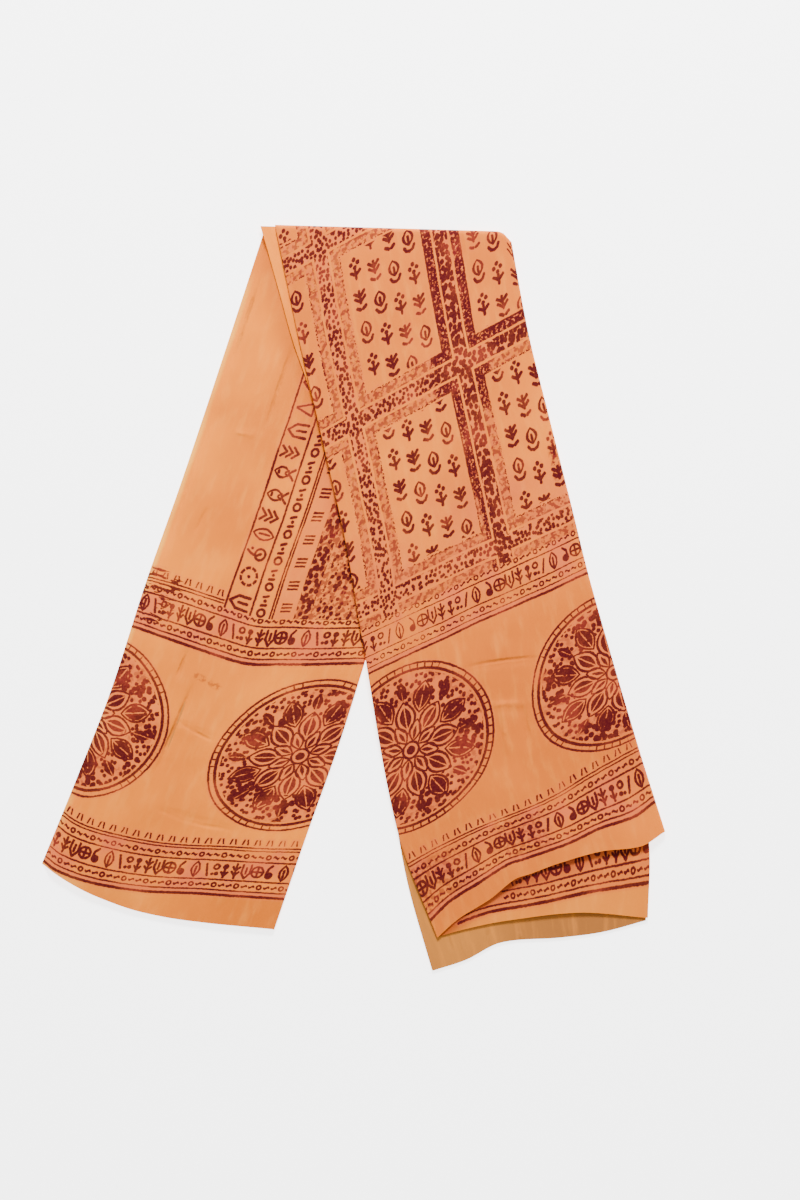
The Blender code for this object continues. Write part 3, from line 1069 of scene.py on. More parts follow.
# middle radius, half length, half width of a round of outlined petals, and half their line
PETALS_IN_LINE = ((19.0, 10.0, 5.6, 0.9), (51.0, 15.0, 9.0, 1.0))
PETALS_BETWEEN = ((33.0, 16.0, 9.5, 1.0),)
# the same of a round of filled leaves, and half their bare rib
LEAVES_IN_LINE = ((51.0, 12.0, 6.8, 0.9),)
LEAVES_BETWEEN = ((33.0, 11.0, 5.4, 0.9), (60.0, 9.0, 4.6, 0.7))

# How far apart the flecks of the ground are, and how large
FLECK_PITCH = 6.5
FLECK_REACH = 0.27


def sector(angle, radius, count, turn=0.0):
    """x outwards and y round, in the nearest of a round of equal sectors."""
    width = 2.0 * math.pi / count
    turned = (angle + turn * width) % width - width / 2.0
    return radius * Value.math("COSINE", turned), radius * Value.math("SINE", turned)


def rosette_round(out, around, petals, leaves):
    """One round of the rosette: outlined petals, and filled leaves with a bare rib."""
    for middle, length, width, half in petals:
        yield abs(leaf(around, out - middle, length, width)) - half
    for middle, length, width, rib in leaves:
        yield highest(leaf(around, out - middle, length, width), rib - abs(around))


def medallion_shapes(place, radius, angle):
    """Draw the rosette from its heart outwards, and then the rim and the flecked ground."""
    yield radius - HEART
    for middle, half in MEDALLION_RINGS:
        yield line(radius, middle, half)
    out, around = sector(angle, radius, PETALS)
    yield leaf(around, out - 17.0, 6.0, 1.5)
    yield from rosette_round(out, around, PETALS_IN_LINE, LEAVES_IN_LINE)
    out, around = sector(angle, radius, PETALS, 0.5)
    yield from rosette_round(out, around, PETALS_BETWEEN, LEAVES_BETWEEN)
    out, around = sector(angle, radius, RIM_DOTS)
    yield vector("LENGTH", point_at(out - 72.0, around), output=1) - 1.8
    around = sector(angle, radius, RIM_TICKS)[1]
    broken = smooth(cloudy(place, 50.0, 1.0), 0.46, 0.56, 0.0, 0.9)
    yield highest(abs(around) - 0.5, line(radius, 80.5, 3.0)) + broken
    fleck = dabs(place, FLECK_PITCH, FLECK_PITCH)
    thicket = smooth(cloudy(place, 34.0), 0.50, 0.60, 0.0, 0.18)
    yield highest((fleck - FLECK_REACH - thicket) * FLECK_PITCH, line(radius, 59.0, 15.0))


def medallion(place, x, y, centres):
    """Distance to the ink of the nearer medallion, and the distance from its centre."""
    first, second = centres
    nearer = x > (first[0] + second[0]) / 2.0
    side = (x - first[0] - nearer * (second[0] - first[0])) * MEDALLION_STRETCH[0]
    up = (y - first[1] - nearer * (second[1] - first[1])) * MEDALLION_STRETCH[1]
    radius = vector("LENGTH", point_at(side, up), output=1)
    angle = Value.math("ARCTAN2", up, side) + math.pi
    return union(medallion_shapes(place, radius, angle)), radius


print("a medallion is %.0f mm wide" % (2.0 * MEDALLION_ROUND / MEDALLION_STRETCH[0]))

# %% [markdown]
# ## The side border of the back leg
#
# Along the selvedge runs a narrow border with a column of larger motifs, drawn here lying on
# their sides as they are on the cloth: pointed arches, a wheel, a bud, a leaf, sprigs, fish and
# a tent. Most motifs are the same on both sides of their middle line, and some stand twice in
# the repeat, so that the absolute value of a coordinate draws two for the price of one.

# %% The side border block
SIDE_BORDER_X = 410.0
SIDE_BORDER_Y = 304.0
SIDE_REPEAT = 226.0
SIDE_MIDDLE = 14.4
BEAD_REPEAT = 27.0
BAR_REPEAT = 23.5
BARS_AT = 11.7
VINE_SQUAT = 0.85

# distance from the outer line, half width
SIDE_LINES = ((0.0, 0.85), (28.8, 0.8), (49.6, 0.55), (52.4, 0.55))

# Where the motifs stand in the repeat; the sprigs and the fish stand on both sides of theirs
ARCHES_AT = 97.0
WHEEL_AT = 36.0
BUD_AT = 60.0
LEAF_AT = 80.0
FISH_AT = 130.5
TENT_AT = 208.0
WHEEL_GAPS = 8


def side_motifs(across, along):
    """Draw the column of larger motifs."""
    arch = point_at(across, abs(abs(along - ARCHES_AT) - 88.0))
    yield strokes(arch, ((9.5, 6.6), (-3.5, 6.4), (-11.0, 0.0)), 1.2)
    yield stroke(arch, (-1.5, 0.0), (8.0, 0.0), 1.2)

    wheel = point_at(across, along - WHEEL_AT)
    spin = Value.math("ARCTAN2", along - WHEEL_AT, across) + math.pi
    gap = (abs(spin % (2.0 * math.pi / WHEEL_GAPS) - math.pi / WHEEL_GAPS) - 0.27) * 8.0
    yield highest(ring(wheel, (0.0, 0.0), 8.8, 1.1), gap)
    yield disc(wheel, (0.0, 0.0), 1.5)

    bud = point_at(across, along - BUD_AT)
    yield ring(bud, (4.0, 0.0), 5.6, 1.1)
    yield strokes(bud, ((4.6, 0.6), (0.5, -2.2), (-6.0, -1.4), (-11.0, 1.6)), 1.2)
    yield disc(bud, (-6.5, 4.2), 1.6)

    yield abs(leaf(along - LEAF_AT, across, 11.5, 5.4)) - 1.0
    yield stroke(point_at(across, along - LEAF_AT), (-5.0, 0.0), (6.5, 0.6), 0.9)

    from_fish = abs(along - FISH_AT)
    sprig = point_at(across, abs(from_fish - 32.0))
    for tip in (-4.5, 2.0, 8.5):
        yield stroke(sprig, (tip - 6.0, 5.2), (tip, 0.0), 1.1)
    fish_y = from_fish - 11.5
    yield abs(leaf(fish_y, across + 2.5, 8.6, 5.0)) - 1.0
    fish = point_at(across, abs(fish_y))
    yield disc(fish, (-6.5, 0.8), 1.3)
    yield stroke(fish, (5.2, 0.4), (11.0, 5.2), 1.1)
    yield stroke(fish, (1.0, 0.6), (4.4, 2.6), 0.9)

    tent = point_at(across, abs(along - TENT_AT))
    yield strokes(tent, ((8.5, 0.8), (8.5, 6.4), (-9.5, 0.4)), 1.0)


def beads_and_bars(inward, up):
    """Draw the narrow rows further in: rings, dots and slanting strokes, and pairs of bars."""
    bead = point_at(inward - 39.2, up % BEAD_REPEAT)
    yield ring(bead, (0.0, 5.0), 3.6, 1.0)
    yield stroke(bead, (-2.4, 12.4), (2.4, 13.2), 1.1)
    yield disc(bead, (0.4, 17.2), 1.4)
    yield stroke(bead, (-2.4, 21.0), (2.4, 22.6), 1.1)
    bars_y = abs(up % BAR_REPEAT - BARS_AT)
    yield highest(lowest(bars_y, abs(bars_y - 3.8)) - 0.75, line(inward, 64.0, 5.2))


def side_vine(place, inward):
    """Draw the mottled strip, and the vine beyond it."""
    leafy = cloudy(place, 16.0) - 0.24
    for size, reach, where in ((4.9, 0.42, line(inward, 83.0, 8.0)), (5.6, leafy, 96.0 - inward)):
        yield highest((dabs(place, size, size / VINE_SQUAT) - reach) * size, where)


def side_shapes(place, inward, up):
    """Draw all that the side border holds, from the outer line inwards."""
    for at, half in SIDE_LINES:
        yield line(inward, at, half)
    yield from side_motifs(inward - SIDE_MIDDLE, up % SIDE_REPEAT)
    yield from beads_and_bars(inward, up)
    yield from side_vine(place, inward)


def side_border(place, x, y):
    """Distance to the ink, and how far inside and above the border's corner a place is."""
    inward = SIDE_BORDER_X - x
    up = y - SIDE_BORDER_Y
    ink = union(side_shapes(place, inward, up))
    return highest(ink, -1.5 - inward, -up), inward, up


print("the side border repeats every %.0f mm" % SIDE_REPEAT)

# %% [markdown]
# ## The lattice of the front leg
#
# Above the upper border a lattice of leafy bands divides the cloth into cells. Each band has a
# vine in the middle and a mottled strip on either side. The cells hold columns of small
# marks, which here are sprigs, leaves and flowers. The nearest band is found by folding the
# place into one cell of the lattice.

# %% The lattice block
LATTICE_X = 42.0
LATTICE_Y = 322.0
CELL_WIDTH = 134.0
CELL_HEIGHT = 186.0
BAND_HALF = 20.0
VINE_HALF = 7.4
STRIP_FROM = 9.8
STRIP_MIDDLE = (STRIP_FROM + BAND_HALF) / 2.0
VINE_WIDE = 4.2
VINE_TALL = 4.9
MARK_COLUMNS = 4
MARK_COLUMN = 21.2
MARK_ROW = 33.5
MARK_CLIMB = 11.5
MARK_GAP = 3.0

# The block printed strongly round this column, and along the band to its right
STRONG_COLUMN = 172.0
STRONG_BAND = 16.0

# The vine's blobs: how far each reaches from its point, how much further where it is strong,
# and how much less where it is worn
VINE_REACH = 0.37
VINE_STRONG = 0.14
VINE_WORN = 0.07


def mark_sprig(place):
    """A sprig with two pairs of leaves, over a pair of short strokes."""
    yield stroke(place, (0.0, -2.0), (0.0, 10.0), 1.3)
    for foot in (-1.0, 4.5):
        yield stroke(place, (0.0, foot), (5.6, foot + 4.6), 1.4)
    yield stroke(place, (1.6, -8.5), (5.0, -6.5), 1.5)


def mark_leaf(place, x, y):
    """A leaf standing on a bowl."""
    yield abs(leaf(x, y - 4.0, 7.6, 5.2)) - 1.3
    yield stroke(place, (0.0, -1.0), (0.0, 5.0), 1.2)
    yield strokes(place, ((0.0, -9.8), (3.6, -8.6), (5.8, -5.0)), 1.3)


def mark_flower(place):
    """Four petals on a stem, over two leaves."""
    for petal in ((0.0, 9.8), (4.0, 5.8), (0.0, 1.8)):
        yield disc(place, petal, 2.0)
    yield stroke(place, (0.0, -1.0), (0.0, -10.0), 1.25)
    yield stroke(place, (0.0, -6.2), (5.4, -2.4), 1.4)


def lattice_marks(y, from_column):
    """Distance to the ink of the marks, whose rows climb from column to column."""
    inset = (CELL_WIDTH - MARK_COLUMNS * MARK_COLUMN) / 2.0
    column = Value.math("FLOOR", (from_column - inset) / MARK_COLUMN)
    mark_x = abs((from_column - inset) % MARK_COLUMN - MARK_COLUMN / 2.0)
    climb = y + column * MARK_CLIMB
    row = Value.math("FLOOR", climb / MARK_ROW)
    mark_y = climb % MARK_ROW - MARK_ROW / 2.0
    kind = (row * 2.0 + column) % 3.0
    folded = point_at(mark_x, mark_y)
    return lowest(
        union(mark_sprig(folded)) + (kind > 0.5) * FAR,
        union(mark_leaf(folded, mark_x, mark_y)) + abs(kind - 1.0) * FAR,
        union(mark_flower(folded)) + (kind < 1.5) * FAR,
    )


def strength(x, y):
    """How strongly the bands are inked, from 0 to 1: less below the crossing, on both sides."""
    above_crossing = y - LATTICE_Y - CELL_HEIGHT
    faded_right = smooth(x, 178.0, 186.0) * smooth(above_crossing, -70.0, -20.0, 0.75, 0.0)
    faded_left = smooth(x, 158.0, 166.0, 1.0, 0.0) * smooth(above_crossing, -150.0, -75.0, 0.65, 0.0)
    column = near(x, STRONG_COLUMN, 20.0, 46.0) * (1.0 - highest(faded_right, faded_left))
    band = smooth(x, 186.0, 212.0) * near(above_crossing, STRONG_BAND, 24.0, 27.0)
    return highest(column, band)


def lattice(place, x, y):
    """Distance to the ink, the mottled strips, the distance from a band, and its strength."""
    from_column = (x - LATTICE_X) % CELL_WIDTH
    from_row = (y - LATTICE_Y) % CELL_HEIGHT
    side = CELL_WIDTH / 2.0 - abs(from_column - CELL_WIDTH / 2.0)
    over = CELL_HEIGHT / 2.0 - abs(from_row - CELL_HEIGHT / 2.0)
    from_band = lowest(side, over)
    inky = strength(x, y)
    broken = smooth(cloudy(place, 2.6, 1.0), 0.45, 0.53, 0.0, 1.2)
    edge = line(from_band, BAND_HALF, 0.5) + broken * (1.0 - inky)
    worn = smooth(y, 300.0, 400.0, 1.0, 0.0) * smooth(x, 60.0, 160.0, 1.0, 0.0)
    blobs = dabs(place, VINE_WIDE, VINE_TALL) - VINE_REACH - inky * VINE_STRONG + worn * VINE_WORN
    vine = highest(blobs * 4.4, from_band - VINE_HALF)
    marks = highest(lattice_marks(y, from_column), BAND_HALF + MARK_GAP - from_band)
    strip = near(from_band, STRIP_MIDDLE, 4.0, 5.2)
    return lowest(marks, vine, edge), strip, from_band, inky


print("a cell of the lattice is %.0f mm by %.0f mm" % (CELL_WIDTH, CELL_HEIGHT))

# %% [markdown]
# ## Cotton and ink
#
# The cotton is a plain weave that takes the light softly: rough, with a faint sheen, and a
# little lighter and darker from place to place as the dye took. The ink is crimson, darkest
# where the block pressed hard, and it has a paler pink bloom round it where the printer's
# colour spread. Only the colour and the bump vary over the surface.

# %% Colours of the cloth and the ink
COTTON = (0.840, 0.212, 0.005, 1.0)
COTTON_DEEP = (0.660, 0.150, 0.005, 1.0)
COTTON_DEEPEST = (0.590, 0.131, 0.004, 1.0)
COTTON_LIGHT = (0.900, 0.290, 0.030, 1.0)
FRONT_COTTON = (0.775, 0.188, 0.005, 1.0)
SELVEDGE_PALE = (0.970, 0.400, 0.040, 1.0)
# The wrong side: deeper than the cotton, partly its own colour and partly painted shade of the layer
# over it; its margin below the print is paler
WRONG_SIDE = (0.660, 0.155, 0.008, 1.0)
WRONG_SIDE_MARGIN = (0.730, 0.205, 0.014, 1.0)
UNPRINTED = (0.490, 0.172, 0.026, 1.0)
# A deeper tone of the lowest layers: their dye's deeper clouds, and painted shade at the foot
UNPRINTED_DEEP_AND_SHADED = (0.335, 0.115, 0.023, 1.0)

# Cloth in the shade of an edge or in a crease
SHADED = (0.340, 0.058, 0.007, 1.0)

# The bloom round the ink, the ink where the block pressed hard, and thin ink
PINK = (0.615, 0.107, 0.037, 1.0)
CRIMSON = (0.062, 0.0016, 0.0045, 1.0)
CRIMSON_THIN = (0.132, 0.0058, 0.0090, 1.0)

# How far the ink spreads, a thread pair of the weave, and the depths that the bump adds
INK_SPREAD = 0.28
THREAD = 0.55
WEAVE_DEPTH = 0.025
STREAK_DEPTH = 0.12
RUMPLE = 1.3

# Creases narrower than this also show as painted shade in the colour
FINE_CREASE = 3.0

# What is the same all over the cloth
CLOTH_FINISH = {
    "Roughness": 0.82,
    "Specular IOR Level": 0.08,
    "Sheen Weight": 0.04,
    "Sheen Roughness": 0.5,
    "Sheen Tint": (1.0, 0.70, 0.45, 1.0),
}
print("a thread pair of the weave is %.2f mm wide" % THREAD)


# %% Dye, ink and weave
def set_sockets(shader, values):
    """Set sockets that are the same all over."""
    for name, value in values.items():
        shader.inputs[name].default_value = value


def dyed(flat, streaks, cloth, deep):
    """The dyed cloth: broad clouds between two depths of the dye, and fine paler streaks."""
    ground = mixed(smooth(cloudy(flat, 120.0), 0.35, 0.7), cloth, deep)
    return mixed(smooth(streaks, 0.45, 0.8) * 0.35, ground, COTTON_LIGHT)


def inked(color, flat, place, ink, pink, dust):
    """The cloth with the pink bloom and ground, the thin spilt colour, and the ink."""
    grain = cloudy(flat, 2.2)
    reach = smooth(cloudy(flat, 38.0), 0.30, 0.62)
    edge = ink - (grain - 0.5) * 1.1 - (reach - 0.7) * 0.35 - INK_SPREAD
    cover = smooth(edge, -0.35, 0.45, 1.0, 0.0)
    bloom = smooth(ink, 0.0, 3.2, 0.42, 0.0)
    color = mixed(highest(bloom, pink), color, PINK)
    if dust is not None:
        flecks = smooth(cloudy(place, 5.0, 3.0), 0.46, 0.56, 0.13, 1.0)
        color = mixed(dust * flecks, color, CRIMSON_THIN)
    depth = (0.88 + 0.12 * reach) * (0.88 + 0.20 * grain)
    tone = mixed(smooth(reach + grain, 0.4, 1.1), CRIMSON_THIN, CRIMSON)
    return mixed(cover * lowest(depth, 1.0), color, tone)


def cloth_bump(flat, place, streaks, creases):
    """The weave, the streaks, the small rumples and the sharp creases."""
    turn = 2.0 * math.pi / THREAD
    across, up = separate(flat)
    weave = Value.math("SINE", across * turn) * Value.math("SINE", up * turn)
    rumple = cloudy(flat, 30.0, 3.0, RUMPLES)
    height = weave * WEAVE_DEPTH + streaks * STREAK_DEPTH + rumple * RUMPLE
    uneven = smooth(cloudy(flat, 22.0), 0.34, 0.60, 0.35, 1.20)
    for start, end, width, rise in creases:
        beside, most = crease(place, start, end)
        height = height + smooth(beside, 0.0, width, rise, 0.0) * most * uneven
    return Value.node("ShaderNodeBump", {}, {"Strength": 1.0, "Distance": MM, "Height": height})


def cotton(
    flat, place, ink=None, pink=None, dust=None,
    cloth=COTTON, deep=COTTON_DEEP, shade=None, creases=(),
):
    """Colour, finish and bump of the printed cotton, for the material that is being made."""
    streaks = cloudy(flat, 9.0, 3.0, STREAKS)
    color = dyed(flat, streaks, cloth, deep)
    # Painted shade where a mask is given: beside an edge that lies on the cloth, or under a hem
    if shade is not None:
        color = mixed(shade, color, SHADED)
    # Painted shade: the troughs of narrow creases are darkened towards SHADED
    for start, end, width, rise in creases:
        if width < FINE_CREASE:
            beside, most = crease(place, start, end)
            darker = smooth(beside, 0.3, 1.5, -0.55 * rise / width, 0.0)
            color = mixed(darker * most, color, SHADED)
    if ink is not None:
        color = inked(color, flat, place, ink, pink, dust)
    bump = cloth_bump(flat, place, streaks, creases)

    shader = Value.tree.nodes["Principled BSDF"]
    set_sockets(shader, CLOTH_FINISH)
    Value.tree.links.new(color.socket, shader.inputs["Base Color"])
    Value.tree.links.new(bump.socket, shader.inputs["Normal"])


def new_material(name):
    material = bpy.data.materials.new(name)
    material.use_nodes = True
    Value.tree = material.node_tree
    return material


# %% [markdown]
# ## From the view to the cloth
#
# Creases, a few stray marks and a line of painted shade are placed as they are seen from above,
# like the meshes. To draw them on the printed cloth, each end is looked up on the sheet: the
# nearest corner of its mesh knows its place on the cloth.

# %% Lines seen from above, on the cloth
# Corners lower than this may be folded under, so higher ones are taken first
FOLDED_UNDER = 0.002

# A crease in the bump, beside the one in the mesh: how much wider, and what share as deep
CREASE_WIDER = 1.4
CREASE_DEPTH = 0.7


def on_the_cloth(piece, rows):
    """Starts and ends of lines seen from above, in millimetres of the sheet's own cloth."""
    mesh = piece.data
    corners = mesh.uv_layers["cloth"].data
    finder = kdtree.KDTree(len(mesh.loops))
    for loop in mesh.loops:
        x, y, z = mesh.vertices[loop.vertex_index].co
        finder.insert((x, y, 0.0 if z > FOLDED_UNDER else 1.0), loop.index)
    finder.balance()

    def find(x, y):
        place = in_frame(x, y)
        found = corners[finder.find((place.x, place.y, 0.0))[1]].uv
        return (found.x / MM, found.y / MM)

    return [(find(row[0], row[1]), find(row[2], row[3])) for row in rows]


def sharp_creases(piece, creases):
    """Start, end, width and depth of the sharp creases of a table, on the sheet's own cloth."""
    sharp = [row for row in creases if row[4] <= SHARP_CREASE]
    runs = on_the_cloth(piece, sharp)
    return [(*run, CREASE_WIDER * row[4], CREASE_DEPTH * row[5]) for run, row in zip(runs, sharp)]


print(len(sharp_creases(back_top, BACK_CREASES)), "sharp creases in the back leg")

# %% [markdown]
# ## The four finishes of the cloth
#
# The block's ink left more than its lines. Under the border and in the medallions it dyed the
# cloth pink, in strips, clouds and patches, and thin colour was spilt or smeared in places.
# Each finish below gathers the ink, the pink and this dust of colour, and lets the cloth be
# deeper or paler where it is so in the photograph.

# %% Pink grounds and dust
def tinted(up, motif_x, place):
    """The pink ground of the border: a strip above the thick line, clouds, and one patch."""
    strip = near(up, 2.6, 1.8, 3.0, 0.75)
    clouds = smooth(cloudy(place, 42.0), 0.42, 0.62, 0.22, 0.80)
    rows = near(up, MOTIF_ROW, 24.0, 28.0) * clouds
    patch = near(motif_x, 58.0, 12.0, 20.0, 0.45) * near(up, MOTIF_ROW, 9.0, 11.0)
    return highest(strip, rows, patch)


def medallion_pink(radius):
    return smooth(radius, 70.0, MEDALLION_ROUND, 0.58, 0.0)


def medallion_dust(place, radius):
    """Spilt colour in the outer round of the medallions, in drifts."""
    drifts = smooth(cloudy(place, 30.0, 1.0, DRIFTS), 0.44, 0.58, 0.0, 0.42)
    return drifts * near(radius, 58.0, 16.0, 19.0)


def lattice_pink(place, y, strip, from_band, inky, in_lattice):
    """The pink ground of the lattice: hatched strips, the vine's ground, and washed clouds."""
    hatch = smooth(cloudy(place, 2.4, 1.0, HATCHES), 0.42, 0.58)
    hatched = strip * (0.14 + hatch * 0.36 + inky * 0.3)
    vine = smooth(from_band, VINE_HALF - 0.5, VINE_HALF + 1.2, 0.55, 0.10) * in_lattice
    vine = vine * smooth(from_band, BAND_HALF - 1.0, BAND_HALF + 1.5, 1.0, 0.0)
    washed = smooth(abs(y - 345.0), 20.0, 90.0, 0.55, 0.12) * in_lattice
    washed = washed * smooth(cloudy(place, 60.0), 0.30, 0.65, 0.3, 1.0)
    return highest(hatched, vine, washed)


# Stray marks, as start x, start y, end x, end y: ink spilt at the front leg's outer fold and a
# block that touched the back leg once too often; and where the front leg's edge lies on the
# back leg, the line beside which shade is painted
SPILT_INK = (206.0, 152.0, 212.0, 126.0)
GHOST_PRINT = (-160.0, -80.0, -139.0, -90.0)
BESIDE_FRONT = (
    (-93.0, 372.0, -62.0, 265.0),
    (-62.0, 265.0, -41.0, 208.0),
    (-41.0, 208.0, -8.0, 60.0),
)


def front_dust(place, x, y, strip, from_band):
    """Thin colour in the lattice's strips, smeared over the border, and spilt by the fold."""
    lines = smooth(abs(from_band - STRIP_MIDDLE), 3.2, 4.6, 0.78, 1.0)
    strips = strip * lines * smooth(cloudy(place, 26.0), 0.25, 0.60, 0.65, 1.0)
    smeared = highest(smooth(x, 30.0, 95.0, 0.55, 0.0), near(x, 128.0, 10.0, 40.0, 0.45))
    smeared = smeared * near(y, 26.0, 18.0, 26.0)
    ((start, end),) = on_the_cloth(front_top, (SPILT_INK,))
    spilt = smooth(stroke(place, start, end, 1.0), 1.0, 6.0, 0.95, 0.0)
    return highest(strips, smeared, spilt)


# %% The prints of the front and the back leg
def front_print():
    """The front leg's right side: the lattice above, and the borders and medallions below."""
    material = new_material("front_print")
    flat, place, x, y = cloth_millimetres()
    border_ink, up, motif_x = border(x, y)
    above_border = y - BORDER_TOP
    worn = smooth(y, 200.0, 240.0, 0.0, 0.2) * smooth(x, 60.0, 190.0, 2.0, 1.0)
    border_ink = highest(border_ink + worn, above_border)
    medallion_ink, radius = medallion(place, x, y, FRONT_MEDALLIONS)
    lattice_ink, strip, from_band, inky = lattice(place, x, y)
    lattice_ink = highest(lattice_ink, -above_border)
    in_lattice = above_border > 0.0
    strip = strip * in_lattice
    mottle = smooth(cloudy(place, 3.0), 0.62, 0.5, 0.0, 1.0) * strip * inky
    ink = lowest(border_ink, medallion_ink, lattice_ink, (0.55 - mottle) * 4.0)

    pink = highest(
        tinted(up, motif_x, place) * (1.0 - in_lattice),
        lattice_pink(place, y, strip, from_band, inky, in_lattice),
        medallion_pink(radius),
    )
    dust = highest(front_dust(place, x, y, strip, from_band), medallion_dust(place, radius))

    round_medallions = near(y, 140.0, 85.0, 150.0)
    in_hem = smooth(y, -4.0, 10.0, 1.0, 0.0) * smooth(x, 150.0, 215.0, 1.0, 0.0)
    to_the_top = smooth(y, 440.0, 600.0, 0.0, 0.95)
    deep = highest(round_medallions, in_hem, to_the_top, strip * 0.95)
    cloth = mixed(deep, FRONT_COTTON, COTTON_DEEPEST)
    cotton(flat, place, ink, pink, dust, cloth, creases=sharp_creases(front_top, FRONT_CREASES))
    return material


SELVEDGE_X = 2.0 * STRIP / MM


def back_print():
    """The back leg's right side: borders, medallions, and the side border by the selvedge."""
    material = new_material("back_print")
    flat, place, x, y = cloth_millimetres()
    outside = x > SIDE_BORDER_X + 2.0
    border_ink, up, motif_x = border(x, y, outside)
    border_ink = highest(border_ink, y - BORDER_TOP - outside * 22.0)
    medallion_ink, radius = medallion(place, x, y, BACK_MEDALLIONS)
    side_ink, inward, above = side_border(place, x, y)
    smears = smooth(cloudy(place, 8.0, 2.0, SMEARS), 0.48, 0.60)
    smudged = smooth(x, 440.0, 478.0) * near(y, UPPER_BORDER + 38.0, 22.0, 34.0)
    ink = lowest(border_ink, medallion_ink, side_ink, (0.62 - smears * smudged) * 5.0)

    beyond_bars = smooth(inward, 50.0, 54.0, 0.0, 0.45) * (above > 0.0)
    in_vine = smooth(inward, 72.0, 80.0, 0.0, 0.70) * (above > 0.0)
    pink = highest(tinted(up, motif_x, place) * (above < 0.0), beyond_bars, medallion_pink(radius))
    ((start, end),) = on_the_cloth(back_top, (GHOST_PRINT,))
    ghost = smooth(stroke(flat, start, end, 1.0), 0.0, 4.0, 0.45, 0.0)
    dust = highest(in_vine, medallion_dust(place, radius), ghost)

    # Painted shade on the back leg beside the front leg's left edge, fading out over 22 mm
    runs = on_the_cloth(back_top, BESIDE_FRONT)
    edge = union(stroke(flat, start, end, 0.0) for start, end in runs)
    shade = smooth(edge, 1.0, 22.0, 0.34, 0.0)
    in_hem = smooth(y, -6.0, 12.0, 1.0, 0.0)
    selvedge = smooth(x, SELVEDGE_X - 7.0, SELVEDGE_X - 2.0)
    cloth = mixed(in_hem * smooth(x, 300.0, 400.0, 1.0, 0.0), COTTON, COTTON_DEEPEST)
    cloth = mixed(in_hem * smooth(x, 360.0, 460.0, 0.0, 0.7), cloth, SELVEDGE_PALE)
    cloth = mixed(selvedge, cloth, SELVEDGE_PALE)
    creases = sharp_creases(back_top, BACK_CREASES)
    cotton(flat, place, ink, pink, dust, cloth, shade=shade, creases=creases)
    return material


# %% The wrong side, and the plain layers
# Where the top layer's hem lies over the second layer, in millimetres of that layer's cloth;
# painted shade of the hem lies along this line
HEM_OVER_SECOND = (
    (-10.0, -3.0), (-62.0, 11.0), (-95.0, 20.0), (-140.0, 28.0), (-185.0, 32.0), (-260.0, 40.0),
)


def wrong_side_print():
    """The second layer's wrong side: the ink shows through, but fails towards the left fold; the top
    layer's hem throws painted shade on it.
    """
    material = new_material("wrong_side_print")
    flat, place, x, y = cloth_millimetres()
    ink, up, motif_x = border(x, y)
    motifs_fail = smooth(x, -100.0, -88.0) * smooth(up, 7.0, 9.0, 0.0, FAR)
    ink = ink + motifs_fail + smooth(x, -42.0, -34.0, 0.0, FAR)
    # Painted shade along the top layer's hem
    shade = smooth(strokes(flat, HEM_OVER_SECOND, 0.0), 1.0, 20.0, 1.0, 0.0)
    # Deeper above the margin, partly as painted shade of the top layer
    cloth = mixed(smooth(y, -5.0, 1.0), WRONG_SIDE_MARGIN, WRONG_SIDE)
    cotton(flat, place, ink, tinted(up, motif_x, place) * 0.5, cloth=cloth, shade=shade)
    return material


def plain_cotton():
    """The lowest layers, paler at the foot, where they lie in the open, with painted shade to the
    right under the second layer's hem.
    """
    material = new_material("plain_cotton")
    flat, place, x, y = cloth_millimetres()
    # Painted shade: towards the right the foot darkens, under the second layer's hem
    foot = mixed(smooth(x, 30.0, 160.0, 0.0, 0.9), UNPRINTED, UNPRINTED_DEEP_AND_SHADED)
    up_the_leg = smooth(y, 150.0, 450.0)
    cloth = mixed(up_the_leg, foot, COTTON)
    deep = mixed(up_the_leg, UNPRINTED_DEEP_AND_SHADED, COTTON_DEEP)
    creases = sharp_creases(front_hidden[1], FOOT_CREASES)
    cotton(flat, place, cloth=cloth, deep=deep, creases=creases)
    return material


# %% Dress the sheets
finishes = (
    (front_print(), [front_top]),
    (back_print(), [back_top]),
    (wrong_side_print(), [front_second]),
    (plain_cotton(), back_hidden + front_hidden),
)
for material, sheets in finishes:
    print(material.name, len(material.node_tree.nodes), "nodes")
    for piece in sheets:
        piece.data.materials.append(material)

# %% [markdown]
# ## Each sheet stands for its solid
#
# The sheets take the place of the solids in the picture: one for each printed layer, and all
# the hidden layers of a leg for the one solid that stands for them.

# %% Ride and replace
for piece, node, slot_name in (
    (back_top, "back_leg_top_layer", "printed_cotton"),
    (front_top, "front_leg_top_layer", "printed_cotton"),
    (front_second, "front_leg_second_layer", "printed_cotton_wrong_side"),
    *[(piece, "back_leg_lower_layers", "plain_cotton") for piece in back_hidden],
    *[(piece, "front_leg_lower_layers", "plain_cotton") for piece in front_hidden],
):
    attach(piece, "root")
    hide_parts(node)
    print(piece.name, "stands for", node)

# %% [markdown]
# ## Floor and camera
#
# The cloth was photographed from straight above on white. A pale floor, a soft lamp beyond the
# top fold and an even sky give that look, and a long lens keeps the view free of perspective.
# The floor glows a little, so that it is nearly white and the shadows on it stay faint.

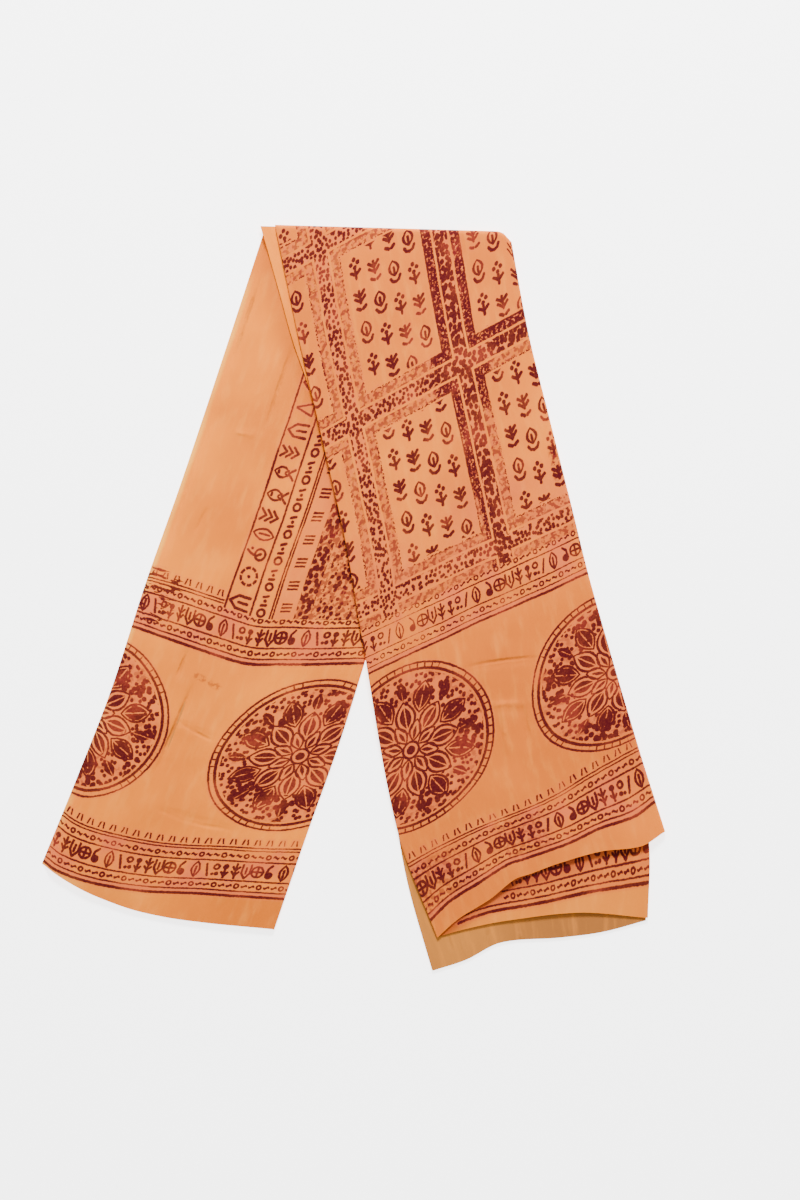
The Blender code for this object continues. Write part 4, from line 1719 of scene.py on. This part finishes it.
# %% Floor and camera
FLOOR_SIZE = 14.0
bpy.ops.mesh.primitive_plane_add(size=FLOOR_SIZE)
floor = bpy.context.object
floor.name = "floor"
paint = bpy.data.materials.new("floor_paint")
paint.use_nodes = True
set_sockets(paint.node_tree.nodes["Principled BSDF"], {
    "Base Color": (0.93, 0.93, 0.93, 1.0),
    "Roughness": 0.9,
    "Emission Color": (1.0, 1.0, 1.0, 1.0),
    "Emission Strength": 3.2,
})
floor.data.materials.append(paint)

# The folded strip is 243 pixels wide in the photograph, which is 800 by 1200
PIXEL = STRIP / 243
PHOTO_WIDTH = 800
PHOTO_HEIGHT = 1200

# The pixel where the sections' millimetres start, and the middle of the picture from there
START_X = 353
START_Y = 598
IMAGE_CENTRE = in_frame(
    (PHOTO_WIDTH / 2 - START_X) * PIXEL / MM, (START_Y - PHOTO_HEIGHT / 2) * PIXEL / MM
)
LENS = 120.0
SENSOR = 36.0
camera_data = bpy.data.cameras.new("camera")
camera_data.lens = LENS
camera_data.sensor_width = SENSOR
camera = bpy.data.objects.new("camera", camera_data)
camera.location = (*IMAGE_CENTRE, PHOTO_HEIGHT * PIXEL * LENS / SENSOR)
bpy.context.scene.collection.objects.link(camera)
bpy.context.scene.camera = camera
print("camera %.2f m above the floor" % camera.location.z)

# %% [markdown]
# ## A window and the sky
#
# One large soft lamp beyond the top fold stands for a window. It rakes over the cloth, so that
# the creases show, and the sky fills the rest with an even light.

# %% Lamp and sky
WINDOW_AT = (0.2, 2.1, 1.7)
WINDOW_SIZE = 0.7
WINDOW_POWER = 185.0
SKY_STRENGTH = 0.95


def add_lamp(name, place, size, power):
    lamp = bpy.data.lights.new(name, "AREA")
    lamp.size, lamp.energy = size, power
    holder = bpy.data.objects.new(name, lamp)
    holder.location = place
    holder.rotation_euler = (-Vector(place)).to_track_quat("-Z", "Y").to_euler()
    bpy.context.scene.collection.objects.link(holder)


add_lamp("window", WINDOW_AT, WINDOW_SIZE, WINDOW_POWER)
world = bpy.context.scene.world or bpy.data.worlds.new("world")
bpy.context.scene.world = world
world.use_nodes = True
sky = {"Color": (1.0, 1.0, 1.0, 1.0), "Strength": SKY_STRENGTH}
set_sockets(world.node_tree.nodes["Background"], sky)
print("window lamp of %.0f W, sky at %.2f" % (WINDOW_POWER, SKY_STRENGTH))
